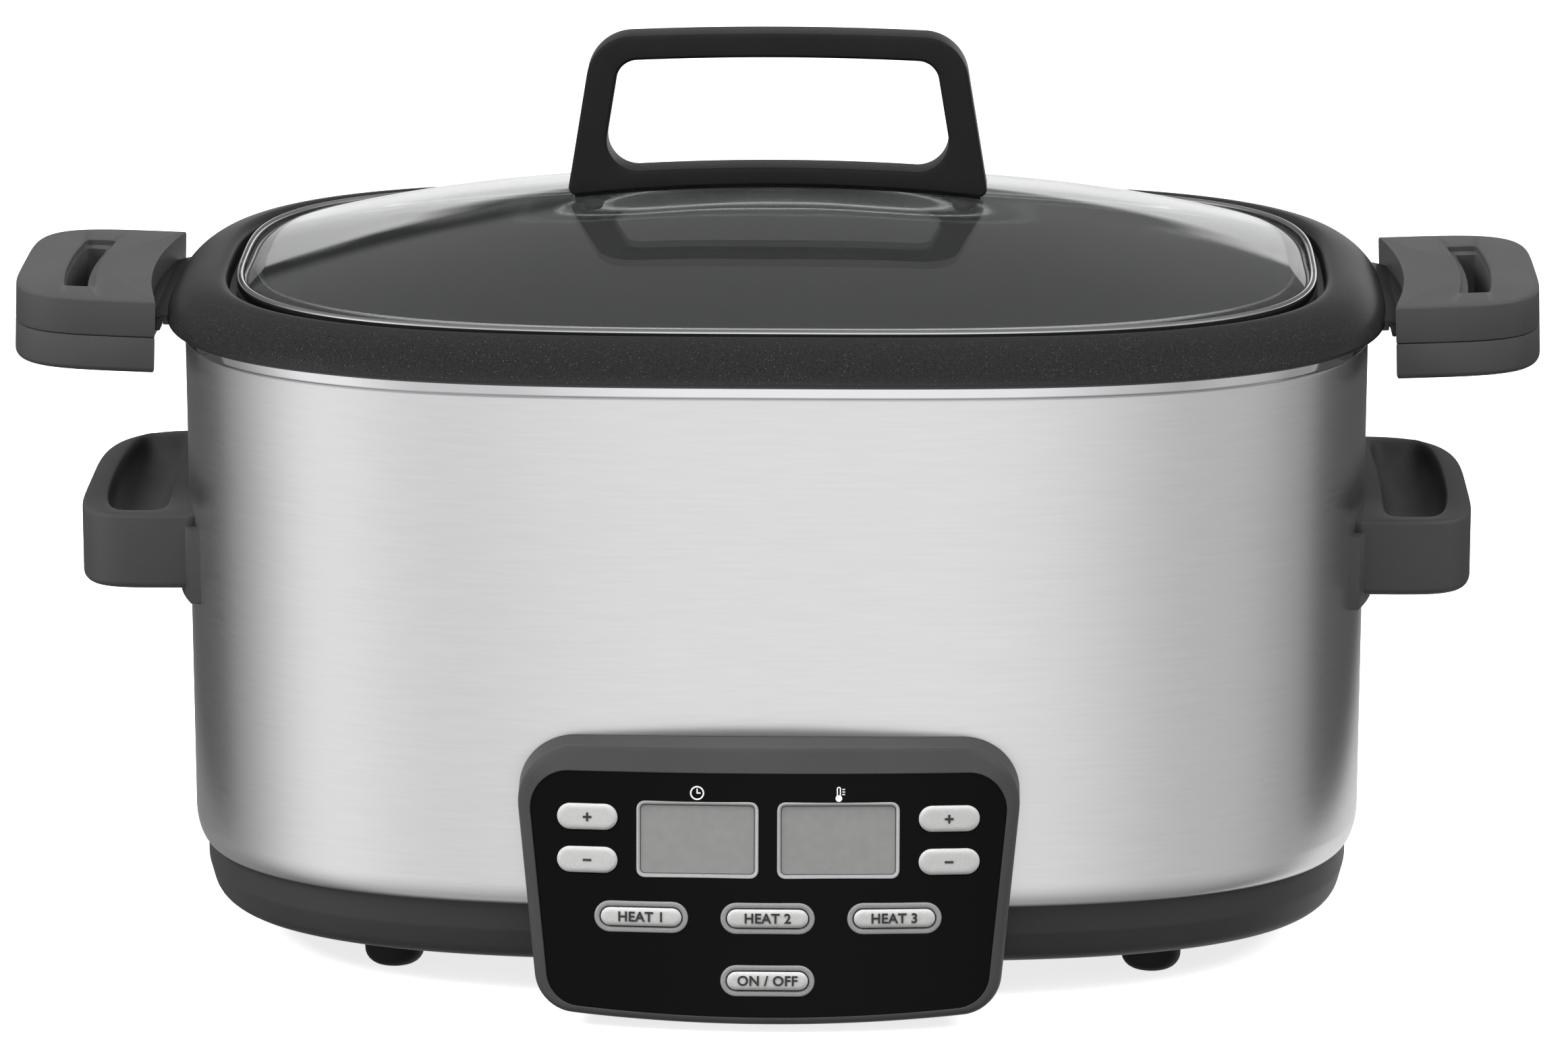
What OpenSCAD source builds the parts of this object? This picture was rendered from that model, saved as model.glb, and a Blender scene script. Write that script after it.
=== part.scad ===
// Slow cooker: an oval steel body with a tilted control panel, a lift-out cooking pot and a glass lid.
// The origin lies on the table under the middle of the whole object; the panel faces -Y.

/* [Body] */
// Width of the steel wrap at its top edge
shell_w = 380; // [350:1:410]
// Depth of the steel wrap at its top edge
shell_d = 256; // [236:1:276]
// Squareness of every oval of the body (2 is an ellipse)
oval_n = 3.2; // [2.6:0.1:4]
// Height of the wrap's top edge above the table
shell_top = 196.6; // [186:0.2:216]
// Height of the wrap's lower edge above the table
shell_bottom = 32; // [26:0.5:34]
// Sheet thickness of the wrap
shell_wall = 1; // [0.7:0.1:1.6]
// Taper of the wrap on each side from top to bottom
shell_taper = 0.8; // [0:0.1:2]
// How far the wrap turns in at its lower edge
turn_in = 3.2; // [2.4:0.2:6]
// Height over which the wrap turns in
turn_h = 8.5; // [6:0.5:14]
// Height of the polished bead on the wrap's top edge
bead_h = 4.3; // [3.4:0.1:6]
// How far the bead stands proud of the wrap
bead_proud = 1.2; // [0.8:0.1:1.8]

/* [Base] */
// Step of the base behind the wrap's lower edge
base_step = 0.5; // [0.4:0.1:2]
// Height of the underside above the table
base_clear = 11.8; // [10:0.2:16]
// Wall thickness of the base
base_wall = 2.5; // [2:0.1:3]
// Diameter of a rubber foot
foot_d = 19; // [15:0.5:24]
// Distance between the feet across the width
foot_span_x = 242; // [200:1:260]
// Distance between the feet across the depth
foot_span_y = 163; // [150:1:170]
// Diameter of the mains cord that the gland takes
cord_d = 7; // [6:0.2:8]

/* [Pot and liner] */
// Height of the pot's rim above the table
rim_z = 213.2; // [208:0.2:224]
// How far the rim reaches past the wrap
rim_over = 5.6; // [4:0.2:7]
// Width of the rim's sloping top, on each side
rim_slope = 19.4; // [17:0.2:22]
// Depth of the lid's ledge below the rim
ledge_drop = 4.6; // [3.6:0.2:6]
// Height of the underside of the pot above the table
pot_bottom = 80; // [74:0.5:100]
// Wall thickness of the pot
pot_wall = 3; // [2:0.2:4]
// Thickness of the pot's floor
pot_floor = 4; // [3:0.2:6]
// Sheet thickness of the liner
liner_wall = 1.2; // [0.8:0.1:2]
// Height of the underside of the liner's floor above the table
liner_bottom = 60; // [56:0.5:64]
// Gap between the pot and the liner's wall
pot_gap = 4; // [3:0.2:6]
// Thickness of the heating plate
plate_h = 9.7; // [8:0.1:12]

/* [Pot grips] */
// Length of a pot grip along the pot's end
grip_len = 105; // [90:1:112]
// Reach of a pot grip out from the rim's end
grip_reach = 47.8; // [42:0.2:54]
// Height of a grip's upper half
grip_up = 12.2; // [10:0.1:14]
// Height of a grip's lower half
grip_down = 11.7; // [9:0.1:13]
// Upward tilt of the grips
grip_tilt = 2; // [0:0.5:4]
// Width of the curved slot in a grip
grip_slot = 7; // [6.6:0.1:8]

/* [Body handles] */
// Length of a body handle along the body's end
handle_len = 116; // [90:1:120]
// Reach of a body handle out from the wrap
handle_reach = 33.5; // [28:0.5:42]
// Height of a body handle
handle_h = 24.8; // [22:0.2:32]
// Height of the underside of a body handle above the table
handle_z = 116.5; // [104:0.5:130]
// Depth of the scoop in the top of a body handle
scoop_depth = 12; // [8:0.5:15]

/* [Lid] */
// Gap between the lid's band and the rim
lid_gap = 2.6; // [1.4:0.1:3]
// Rise of the glass dome over its edge
dome_rise = 24.4; // [18:0.2:32]
// Thickness of the glass
glass_t = 3.5; // [3:0.1:5]
// Half width of the lid handle at its foot
lift_foot = 67.8; // [58:0.2:76]
// Inward slope of the lid handle's legs, per unit of height
lift_slope = 0.165; // [0.05:0.005:0.25]
// Height of the lid handle above the glass's crown
lift_h = 50.4; // [42:0.1:60]
// Thickness of the lid handle from front to back
lift_t = 14.5; // [13:0.5:22]
// Width of the lid handle's legs
lift_leg = 9.6; // [8:0.2:12]
// Thickness of the lid handle's top bar
lift_bar = 7.8; // [5:0.2:10]

/* [Control panel] */
// How far the panel's lower edge stands out in front of the wrap
panel_out = 27; // [24:0.5:32]
// Height of the panel's lower edge above the table
panel_z = 2.9; // [2:0.1:6]
// Backward tilt of the panel's face
panel_tilt = 8.4; // [6:0.1:9]
// Height of the panel along its face
panel_h = 86.6; // [84:0.2:90]
// Width of the panel at its lower edge
panel_w_low = 142.8; // [136:0.2:150]
// Width of the panel at its top edge
panel_w_top = 160.2; // [152:0.2:168]
// Radius of the panel's face, seen from above
face_r = 350; // [320:5:500]
// Thickness of the black face plate
lens_t = 2; // [1.6:0.1:2.4]
// Travel of a key
key_travel = 0.6; // [0.3:0.1:0.7]
// Width of a small plus or minus key
small_key_w = 19; // [15:0.2:21]
// Height of a small plus or minus key
small_key_h = 8.2; // [6.4:0.2:9.2]
// Width of a function key's ring
ring_w = 29.3; // [26:0.1:33]
// Height of a function key's ring
ring_h = 9.8; // [9:0.1:12]
// Width of a display's frame
lcd_w = 38; // [34:0.2:40]
// Height of a display's frame
lcd_h = 24; // [20:0.2:25]

/* [Hidden] */
$fn = 48;

// Clearances
seat = 0.3;        // between bodies that come apart or move
fit = 0.1;         // between fixed pieces of one body
eps = 0.01;        // overlap of a cutter with open air
through = 40;      // length of a cutter that passes right through a wall

// Facet counts of the lofted ovals
fine = 56;
coarse = 44;
hidden = 36;

// Derived sizes of the body
half_w = shell_w / 2;
half_d = shell_d / 2;
panel_reach = half_d + panel_out;
bead_top = shell_top + bead_h;
foot_tuck = turn_in + shell_taper;
base_in = foot_tuck + base_step;
rim_under = bead_top + seat;
rim_in = rim_slope - rim_over;
body_y = (panel_reach - (half_d + rim_over)) / 2;
liner_hang = shell_top + bead_h / 3;
pot_in = rim_in + 7.6;
liner_in = pot_in - pot_gap;
pot_taper = 7;

// ---------- outlines and lofts ----------

function signed_pow(v, p) = sign(v) * pow(abs(v), p);

// Points of a superelliptic oval, counter-clockwise
function oval(a, b, count = fine, n = oval_n) =
    [for (i = [0 : count - 1]) let (t = 360 * i / count)
        [a * signed_pow(cos(t), 2 / n), b * signed_pow(sin(t), 2 / n)]];

// A ring of the body's oval, moved inwards by inset, at height z
function ring(inset, z, count = fine) = [for (p = oval(half_w - inset, half_d - inset, count)) [p.x, p.y, z]];

// Points of an arc about c, from angle a0 to a1
function arc(c, r, a0, a1, steps = 6) =
    [for (i = [0 : steps]) let (a = a0 + (a1 - a0) * i / steps) [c.x + r * cos(a), c.y + r * sin(a)]];

// The points between two points, without the points themselves
function between(p, q, steps) = [for (i = [1 : steps - 1]) p + (q - p) * i / steps];

function mirrored(points) = [for (i = [len(points) - 1 : -1 : 0]) [-points[i].x, points[i].y]];

// A slot outline with round ends
function stadium(w, h) =
    let (r = h / 2, c = w / 2 - r) concat(arc([c, 0], r, -90, 90, 10), arc([-c, 0], r, 90, 270, 10));

// A rectangle with round corners
function round_box(w, h, r) =
    let (x = w / 2 - r, y = h / 2 - r)
    concat(arc([x, -y], r, -90, 0), arc([x, y], r, 0, 90), arc([-x, y], r, 90, 180), arc([-x, -y], r, 180, 270));

// Skins a stack of rings of equal length, each counter-clockwise as seen from the last one's side.
// A closed stack is a ring-shaped solid; an open one has its first and last rings filled.
module loft(rings, closed = false) {
    n = len(rings[0]);
    m = len(rings);
    sides = [for (r = [0 : (closed ? m : m - 1) - 1], i = [0 : n - 1])
        let (low = r * n, up = ((r + 1) % m) * n, j = (i + 1) % n)
        each [[low + i, up + i, up + j], [low + i, up + j, low + j]]];
    caps = closed ? [] : [[for (i = [0 : n - 1]) i], [for (i = [n - 1 : -1 : 0]) (m - 1) * n + i]];
    polyhedron(points = [for (r = rings) each r], faces = concat(sides, caps), convexity = 6);
}

// A round bar along a closed or open path of points
module tube(path, r, sides, closed = false) {
    m = len(path);
    rings = [for (k = [0 : m - 1])
        let (before = closed ? (k + m - 1) % m : max(k - 1, 0),
            after = closed ? (k + 1) % m : min(k + 1, m - 1),
            d = path[after] - path[before],
            u = d / norm(d),
            side = cross(u, [0, 0, 1]),
            v = side / norm(side),
            w = cross(u, v))
        [for (i = [0 : sides - 1]) let (a = 360 * i / sides) path[k] + r * (cos(a) * v + sin(a) * w)]];
    loft(rings, closed);
}

// Puts the body's middle so that the whole object is centred on the origin
module place() translate([0, body_y, 0]) children();

// Puts children at the right and at the left end of the body
module end_of(side) mirror([side < 0 ? 1 : 0, 0, 0]) children();

module at_xy(spots) for (p = spots) translate([p.x, p.y, 0]) children();

function corners(x, y) = [[x, y], [-x, y], [x, -y], [-x, -y]];

// ---------- body ----------

// Inward offset of the wrap's outer face at height z: a slight taper, then a quarter-round turn
function wrap_inset(z) =
    let (t = min(1, max(0, (shell_bottom + turn_h - z) / turn_h)))
    shell_taper * (shell_top - z) / (shell_top - shell_bottom) + turn_in * (1 - sqrt(1 - t * t * 0.94));

turn_steps = 4;
turn_z = [for (i = [0 : turn_steps]) shell_bottom + turn_h * i / turn_steps];

// Bores for the screws of the body handles, the upper panel screws and the wiring
module shell_bores() {
    for (side = [-1, 1]) end_of(side) at_handle_screws() rotate([0, 90, 0])
        cylinder(r = handle_screw_r + fit, h = through, center = true);
    at_panel_screws(upper_screw_z) rotate([90, 0, 0]) cylinder(r = panel_screw_r + fit, h = through, center = true);
}

module housing_shell() color([0.72, 0.72, 0.73]) place() difference() {
    loft(concat(
        [for (z = turn_z) ring(wrap_inset(z), z)],
        [ring(0, shell_top), ring(shell_wall, shell_top)],
        [for (i = [turn_steps : -1 : 0]) ring(wrap_inset(turn_z[i]) + shell_wall, turn_z[i])]), closed = true);
    shell_bores();
    translate([0, -half_d, wire_z]) rotate([90, 0, 0])
        linear_extrude(through, center = true) polygon(stadium(wire_w, wire_h));
}

web_t = 1.6;
web_in = 16;

module shell_trim_ring() color([0.88, 0.88, 0.9]) place() {
    web_top = liner_hang + web_t;
    loft([
        ring(web_in, liner_hang),
        ring(shell_wall * 2, liner_hang),
        ring(shell_wall * 2, shell_top),
        ring(0, shell_top),
        ring(-bead_proud, shell_top + bead_h * 0.3),
        ring(-bead_proud, shell_top + bead_h * 0.6),
        ring(-bead_proud * 0.4, bead_top - bead_h * 0.08),
        ring(shell_wall, bead_top),
        ring(shell_wall * 3, web_top),
        ring(web_in, web_top)], closed = true);
}

liner_flange_in = 4;
liner_spread = 2.6;

module inner_liner() color([0.6, 0.6, 0.6]) place() difference() {
    loft([
        ring(liner_in + 22, liner_bottom, hidden),
        ring(liner_in + 13, liner_bottom + 2, hidden),
        ring(liner_in + 7, liner_bottom + 8, hidden),
        ring(liner_in + 4.5, liner_bottom + 18, hidden),
        ring(liner_in - liner_wall, liner_hang - liner_spread, hidden),
        ring(liner_flange_in, liner_hang - liner_spread * 0.5, hidden),
        ring(liner_flange_in, liner_hang, hidden),
        ring(liner_in, liner_hang, hidden),
        ring(liner_in + 4.5 + liner_wall, liner_bottom + 18, hidden),
        ring(liner_in + 7 + liner_wall, liner_bottom + 8 + liner_wall, hidden),
        ring(liner_in + 13 + liner_wall, liner_bottom + 2 + liner_wall, hidden),
        ring(liner_in + 22 + liner_wall, liner_bottom + liner_wall, hidden)]);
    cylinder(r = guide_r + fit, h = 2 * (liner_bottom + liner_wall), center = false);
    at_xy(terminal_spots) translate([0, 0, liner_bottom - through / 2]) cylinder(r = element_r + 1, h = through);
}

shield_depth = 14;
shield_in = liner_in + 28;
shield_wall = 1;

module heat_shield() color([0.68, 0.68, 0.68]) place() difference() {
    shield_bottom = liner_bottom - shield_depth;
    loft([
        ring(shield_in + 8, shield_bottom, hidden),
        ring(shield_in + 3, shield_bottom + 2.5, hidden),
        ring(shield_in, shield_bottom + 8, hidden),
        ring(shield_in, liner_bottom, hidden),
        ring(shield_in + shield_wall, liner_bottom, hidden),
        ring(shield_in + shield_wall, shield_bottom + 8, hidden),
        ring(shield_in + 3 + shield_wall, shield_bottom + 2.5 + shield_wall, hidden),
        ring(shield_in + 8 + shield_wall, shield_bottom + shield_wall, hidden)]);
    at_xy(post_spots) translate([0, 0, shield_bottom - eps]) cylinder(r = base_screw_r + fit, h = shield_depth / 2);
    at_xy(terminal_spots) translate([0, 0, shield_bottom - eps]) cylinder(r = element_r + 1, h = shield_depth / 2);
}

// ---------- heating and sensing ----------

element_r = 3.9;
element_a = 92;
element_b = 48;
terminal_x = 14;
element_power = 0.8;
plate_in = liner_in + 40;
plate_top = pot_bottom - seat;
plate_bottom = plate_top - plate_h;
liner_floor = liner_bottom + liner_wall;
standoff_x = 104;
standoff_y = 38;
standoff_r = 6;
standoff_spots = corners(standoff_x, standoff_y);
terminal_spots = [[-terminal_x, -element_b], [terminal_x, -element_b]];

module heating_plate() color([0.55, 0.55, 0.56]) place() difference() {
    union() {
        translate([0, 0, plate_bottom + 2]) linear_extrude(plate_h - 3)
            polygon(oval(half_w - plate_in, half_d - plate_in, coarse));
        translate([0, 0, plate_bottom]) linear_extrude(plate_h)
            polygon(oval(half_w - plate_in - 2, half_d - plate_in - 2, coarse));
        at_xy(standoff_spots) translate([0, 0, liner_floor]) cylinder(r = standoff_r, h = plate_bottom - liner_floor + 1);
    }
    translate([0, 0, liner_floor]) cylinder(r = guide_r + fit, h = through);
}

// The element's ring is open at the front, where its two ends turn down through the liner
module heating_element() color([0.35, 0.33, 0.32]) place() {
    z = plate_bottom - element_r - fit;
    gap = 90 - acos(pow(terminal_x / element_a, 1 / element_power));
    ends = liner_bottom - shield_depth - 6;
    loop = [for (i = [0 : 28]) let (t = -90 + gap + (360 - 2 * gap) * i / 28)
        [element_a * signed_pow(cos(t), element_power), element_b * signed_pow(sin(t), element_power), z]];
    tube(loop, element_r, 8);
    for (p = terminal_spots) translate([p.x, p.y, ends]) cylinder(r = element_r * 0.7, h = z - ends - element_r * 0.8);
}

fuse_r = 3;
fuse_len = 24;
fuse_x = 70;

module thermal_fuse() color([0.8, 0.78, 0.7]) place() translate([fuse_x, 0, 0]) {
    axis_z = liner_bottom - fuse_r - 1;
    translate([0, -fuse_len / 2, axis_z]) rotate([-90, 0, 0]) cylinder(r = fuse_r, h = fuse_len);
    difference() {
        translate([-fuse_r - 1, -fuse_r, axis_z - fuse_r - 1]) cube([2 * fuse_r + 2, 2 * fuse_r, 2 * fuse_r + 2]);
        translate([0, -fuse_len / 2, axis_z]) rotate([-90, 0, 0]) cylinder(r = fuse_r + fit, h = fuse_len);
    }
}

guide_r = 7;
guide_wall = 1.1;
guide_floor = 2;
guide_top = plate_top - 1.5;
plunger_r = guide_r - guide_wall - seat;
plunger_h = 3;
stem_r = 2.5;
plunger_travel = 2;

module sensor_guide() color([0.75, 0.75, 0.72]) place() difference() {
    union() {
        translate([0, 0, liner_bottom]) cylinder(r = guide_r, h = guide_top - liner_bottom);
        translate([0, 0, liner_floor]) cylinder(r = guide_r + 6, h = 1.8);
    }
    translate([0, 0, liner_bottom + guide_floor]) cylinder(r = guide_r - guide_wall, h = through);
    translate([0, 0, liner_bottom - eps]) cylinder(r = stem_r + seat, h = through);
}

module sensor_plunger() color([0.85, 0.85, 0.85]) place() rotate_extrude() polygon([
    [0, plate_top], [plunger_r - 0.8, plate_top], [plunger_r, plate_top - 0.8], [plunger_r, plate_top - plunger_h],
    [stem_r, plate_top - plunger_h], [stem_r, liner_bottom - seat], [stem_r + 1.5, liner_bottom - seat],
    [stem_r + 1.5, liner_bottom - seat - 1.5], [0, liner_bottom - seat - 1.5]]);

spring_turns = 4;
spring_steps = 10;
spring_wire = 0.45;

module sensor_spring() color([0.7, 0.7, 0.7]) place() {
    low = liner_bottom + guide_floor + spring_wire + fit;
    high = plate_top - plunger_h - spring_wire - fit;
    r = (stem_r + guide_r - guide_wall) / 2;
    tube([for (i = [0 : spring_turns * spring_steps]) let (a = 360 * i / spring_steps, s = a / 360 / spring_turns)
        [r * cos(a), r * sin(a), low + (high - low) * s]], spring_wire, 5);
}

// ---------- base ----------

base_screw_r = 1.6;
hook_in = foot_tuck - 1.1;
post_x = 104;
post_y = 54;
post_spots = corners(post_x, post_y);
base_floor = base_clear + base_wall;
cover_a = 84;
cover_b = 46;
cover_t = 1.5;
cover_lip = 5;
board_x = 92;
board_y = 76;
board_half = 22;
board_t = 1.6;
board_z = base_floor + 6;
boss_spots = [[board_x - 5, board_y + board_half - 5], [board_x - 5, board_y - board_half + 5],
    [5 - board_x, board_y + board_half - 5], [5 - board_x, board_y - board_half + 5]];
foot_spots = corners(foot_span_x / 2, foot_span_y / 2);
foot_neck = 4;
foot_round = 5;
gland_x = -70;
gland_z = base_clear + 9.5;
gland_r = cord_d / 2 + 3;
cord_bore = cord_d / 2 + 0.1;
head_r = 3.4;
head_h = 2;

// Where the base's or wrap's front face lies at x, for a face moved inwards by inset
function front_at(x, inset) =
    (half_d - inset) * pow(1 - pow(abs(x) / (half_w - inset), oval_n), 1 / oval_n);

module base_pan() color([0.25, 0.25, 0.26]) place() difference() {
    union() {
        loft([
            ring(base_in + 11, base_clear, coarse),
            ring(base_in + 4.5, base_clear + 1.6, coarse),
            ring(base_in + 1, base_clear + 5.5, coarse),
            ring(base_in, base_clear + 11, coarse),
            ring(base_in, shell_bottom + 2.5, coarse),
            ring(hook_in, shell_bottom + 6, coarse),
            ring(hook_in, shell_bottom + 8.5, coarse),
            ring(base_in + base_wall, shell_bottom + 5.5, coarse),
            ring(base_in + base_wall, base_clear + 11, coarse),
            ring(base_in + 1 + base_wall, base_clear + 6.5, coarse),
            ring(base_in + 11 + base_wall, base_floor, coarse)]);
        at_xy(post_spots) translate([0, 0, base_clear + 1])
            cylinder(r = base_screw_r + 3, h = liner_bottom - shield_depth - base_clear - 1);
        at_xy(boss_spots) translate([0, 0, base_clear + 1]) cylinder(r = 4, h = board_z - base_clear - 1);
        at_panel_screws(lower_screw_z) translate([0, 1, 0]) rotate([90, 0, 0]) cylinder(r = 4.5, h = panel_boss_len);
    }
    translate([0, 0, base_clear - eps]) linear_extrude(cover_t + fit + eps) polygon(oval(cover_a, cover_b, coarse));
    translate([0, 0, base_clear - eps]) linear_extrude(base_wall + 2 * eps + 1)
        polygon(oval(cover_a - cover_lip, cover_b - cover_lip, coarse));
    at_xy(post_spots) {
        translate([0, 0, base_clear - eps]) cylinder(r = base_screw_r + fit, h = through);
        translate([0, 0, base_clear - eps]) cylinder(r = head_r + 0.4, h = head_h + 0.6 + eps);
    }
    at_xy(boss_spots) translate([0, 0, board_z - 5]) cylinder(r = board_screw_r + fit, h = 5 + eps);
    at_xy(foot_spots) translate([0, 0, base_clear - eps]) cylinder(r = foot_neck + fit, h = base_wall + 2 * eps);
    at_panel_screws(lower_screw_z) rotate([90, 0, 0])
        cylinder(r = panel_screw_r + fit, h = 2 * through, center = true);
    for (x = [-1, 1]) translate([x * panel_screw_x, screw_seat(lower_screw_z), lower_screw_z])
        rotate([-90, 0, 0]) cylinder(r = head_r + 0.4, h = through / 4);
    translate([gland_x, half_d - base_in, gland_z]) rotate([90, 0, 0]) cylinder(r = gland_r + fit, h = through, center = true);
}

vent_pitch = 9;
vent_len = 44;

module bottom_cover() color([0.6, 0.6, 0.6]) place() translate([0, 0, base_clear]) difference() {
    linear_extrude(cover_t) polygon(oval(cover_a - fit, cover_b - fit, coarse));
    for (i = [-4 : 4]) translate([i * vent_pitch, 0, -eps]) linear_extrude(cover_t + 2 * eps)
        rotate(90) polygon(stadium(vent_len, 3.4));
}

// A push-in rubber foot: a soft-edged pad, a neck through the base's floor and a bulb above it
module foot(spot) color([0.1, 0.1, 0.1]) place() translate([spot.x, spot.y, 0]) rotate_extrude() {
    r = foot_d / 2;
    polygon(concat(
        [[0, 0]], arc([r - foot_round, foot_round], foot_round, -90, 0, 7), arc([r - 1.2, base_clear - 1.2], 1.2, 0, 90, 3),
        [[foot_neck, base_clear], [foot_neck, base_floor], [foot_neck + 1.6, base_floor],
            [foot_neck + 1, base_floor + 2], [foot_neck - 1, base_floor + 3], [0, base_floor + 3]]));
}

module front_left_foot() foot(foot_spots[3]);
module front_right_foot() foot(foot_spots[2]);
module rear_left_foot() foot(foot_spots[1]);
module rear_right_foot() foot(foot_spots[0]);

// A pan-head screw pointing up, its head's underside at z = 0
module screw(r, length, head = head_r, height = head_h) rotate_extrude() polygon([
    [0, -height], [head - 0.8, -height], [head, -height + 0.8], [head, 0], [r, 0], [r, length - r], [0, length]]);

module base_screws() color([0.7, 0.7, 0.7]) place() at_xy(post_spots)
    translate([0, 0, base_clear + head_h + 0.6]) screw(base_screw_r, liner_bottom - shield_depth - base_clear);

board_screw_r = 1.3;
supply_x = 60;
supply_w = 30;
supply_d = 28;
supply_h = 17;
relay_x = [-18, 14];
relay_w = 20;
relay_d = 16;
relay_h = 15;
capacitor_x = 54;
capacitor_r = 8;
capacitor_h = 16;

module power_board() color([0.1, 0.35, 0.2]) place() {
    difference() {
        translate([-board_x, board_y - board_half, board_z]) cube([2 * board_x, 2 * board_half, board_t]);
        at_xy(boss_spots) translate([0, 0, board_z - eps]) cylinder(r = board_screw_r + fit, h = board_t + 2 * eps);
    }
    translate([0, board_y, board_z + board_t - eps]) {
        translate([-supply_x, -supply_d / 2, 0]) cube([supply_w, supply_d, supply_h]);
        for (x = relay_x) translate([x, -relay_d / 2, 0]) cube([relay_w, relay_d, relay_h]);
        translate([capacitor_x, 0, 0]) cylinder(r = capacitor_r, h = capacitor_h);
    }
}

module board_screws() color([0.7, 0.7, 0.7]) {
    place() at_xy(boss_spots) translate([0, 0, board_z + board_t]) rotate([180, 0, 0]) screw(board_screw_r, 5.5, 2.6, 1.6);
    place() on_panel() for (p = pcb_boss_spots) translate([p.x, pcb_depth, p.y])
        rotate([-90, 0, 0]) screw(board_screw_r, 5.5, 2.4, 1.2);
}

// A moulded bushing in the rear wall of the base, with a bore for the mains cord
module cord_gland() color([0.12, 0.12, 0.12]) place()
    translate([gland_x, front_at(gland_x, base_in), gland_z]) rotate([-90, 0, 0]) rotate_extrude() polygon([
        [cord_bore, -6], [gland_r, -6], [gland_r, fit], [gland_r + 1.5, fit + 0.5], [gland_r + 1.2, 3], [cord_bore + 1.5, 5],
        [cord_bore, 5]]);

// ---------- body handles ----------

handle_screw_r = 2;
handle_screw_y = 30;
handle_screw_z = handle_z + handle_h / 2 - 3.5;
handle_front_n = 6;
handle_back_n = 3.3;
flange_low = 3.2;
flange_t = 3;
flange_half = handle_len / 2 + 6;
scoop_mid = 14.5;
scoop_bow = 2.5;
handle_root = half_w - shell_wall - 3;

module at_handle_screws() for (y = [-1, 1]) translate([half_w, y * handle_screw_y, handle_screw_z]) children();

// One ring of a handle's plan, squarer at its front end than at its back; it starts inside the wrap
function handle_ring(inset, z, root = handle_root) =
    let (a = half_w + handle_reach - root - inset, b = handle_len / 2 - inset, count = 44)
    [for (i = [0 : count - 1])
        let (t = 360 * i / count, n = sin(t) < 0 ? handle_front_n : handle_back_n)
        [root + max(a * signed_pow(cos(t), 2 / n), -2), b * signed_pow(sin(t), 2 / n), z]];

// The scoop's plan: a long oval with square ends, bowed outwards
function scoop_ring(inset, z) =
    let (b = handle_len / 2 - 7.5)
    [for (p = oval(8.7 - inset, b - inset * 1.6, 36, 5))
        [half_w + scoop_mid - scoop_bow * p.y * p.y / (b * b) + p.x, p.y, z]];

module body_handle(side) color([0.28, 0.28, 0.29]) place() end_of(side) difference() {
    top = handle_z + handle_h;
    union() {
        loft([handle_ring(2.5, handle_z), handle_ring(0.75, handle_z + 0.75), handle_ring(0, handle_z + 2.5),
            handle_ring(0, top - 1.6), handle_ring(0.5, top - 0.5), handle_ring(1.6, top)]);
        translate([0, 0, handle_z - flange_low]) linear_extrude(flange_low + handle_h - 4) intersection() {
            polygon(oval(half_w + flange_t, half_d + flange_t));
            translate([half_w - 20, -flange_half]) square([40, 2 * flange_half]);
        }
    }
    loft([scoop_ring(5.2, top - scoop_depth), scoop_ring(2.8, top - scoop_depth * 0.8),
        scoop_ring(1, top - scoop_depth * 0.4), scoop_ring(0, top + 1)]);
    translate([0, 0, handle_z - through / 2]) linear_extrude(handle_h + through)
        polygon(oval(half_w + fit, half_d + fit));
    at_handle_screws() rotate([0, 90, 0]) cylinder(r = handle_screw_r + fit, h = 2 * 13, center = true);
}

module left_body_handle() body_handle(-1);
module right_body_handle() body_handle(1);

// The head sits inside the wrap, the shank runs out into the handle
module body_handle_screws() color([0.7, 0.7, 0.7]) place() for (side = [-1, 1]) end_of(side) {
    inside = half_w - shell_wall - shell_taper - handle_screw_sag;
    at_handle_screws() translate([inside - half_w - fit, 0, 0]) rotate([0, 90, 0]) screw(handle_screw_r, 13);
}
handle_screw_sag = half_w - front_at_end(handle_screw_y + head_r);

// Where the wrap's end face lies at y
function front_at_end(y) = half_w * pow(1 - pow(abs(y) / half_d, oval_n), 1 / oval_n);

// ---------- control panel ----------
// In the panel's own frame x runs across, y runs into the panel and z runs up along its face.

panel_r_low = 13;
low_bow = 2.6;
bow_angle = 5;
panel_r_top = 18;
side_slope = (panel_w_top - panel_w_low) / 2 / panel_h;
side_angle = atan(side_slope);
bezel_band = 3.9;
bezel_top_band = 7.8;
bezel_low_band = 2.4;
bezel_lip = 0.6;
rim_round = 2.4;
lens_back = lens_t + bezel_lip;
tray_wall = 1.8;
back_rise = 2;
tray_y = -(half_d + seat);
lens_r_low = panel_r_low - bezel_low_band;
lens_r_top = 12;
turn_clear = 0.5;

module on_panel() translate([0, -panel_reach, panel_z]) rotate([-panel_tilt, 0, 0]) children();

// How far the face lies behind its middle line at x
function bulge(x) = face_r - sqrt(face_r * face_r - x * x);

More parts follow.
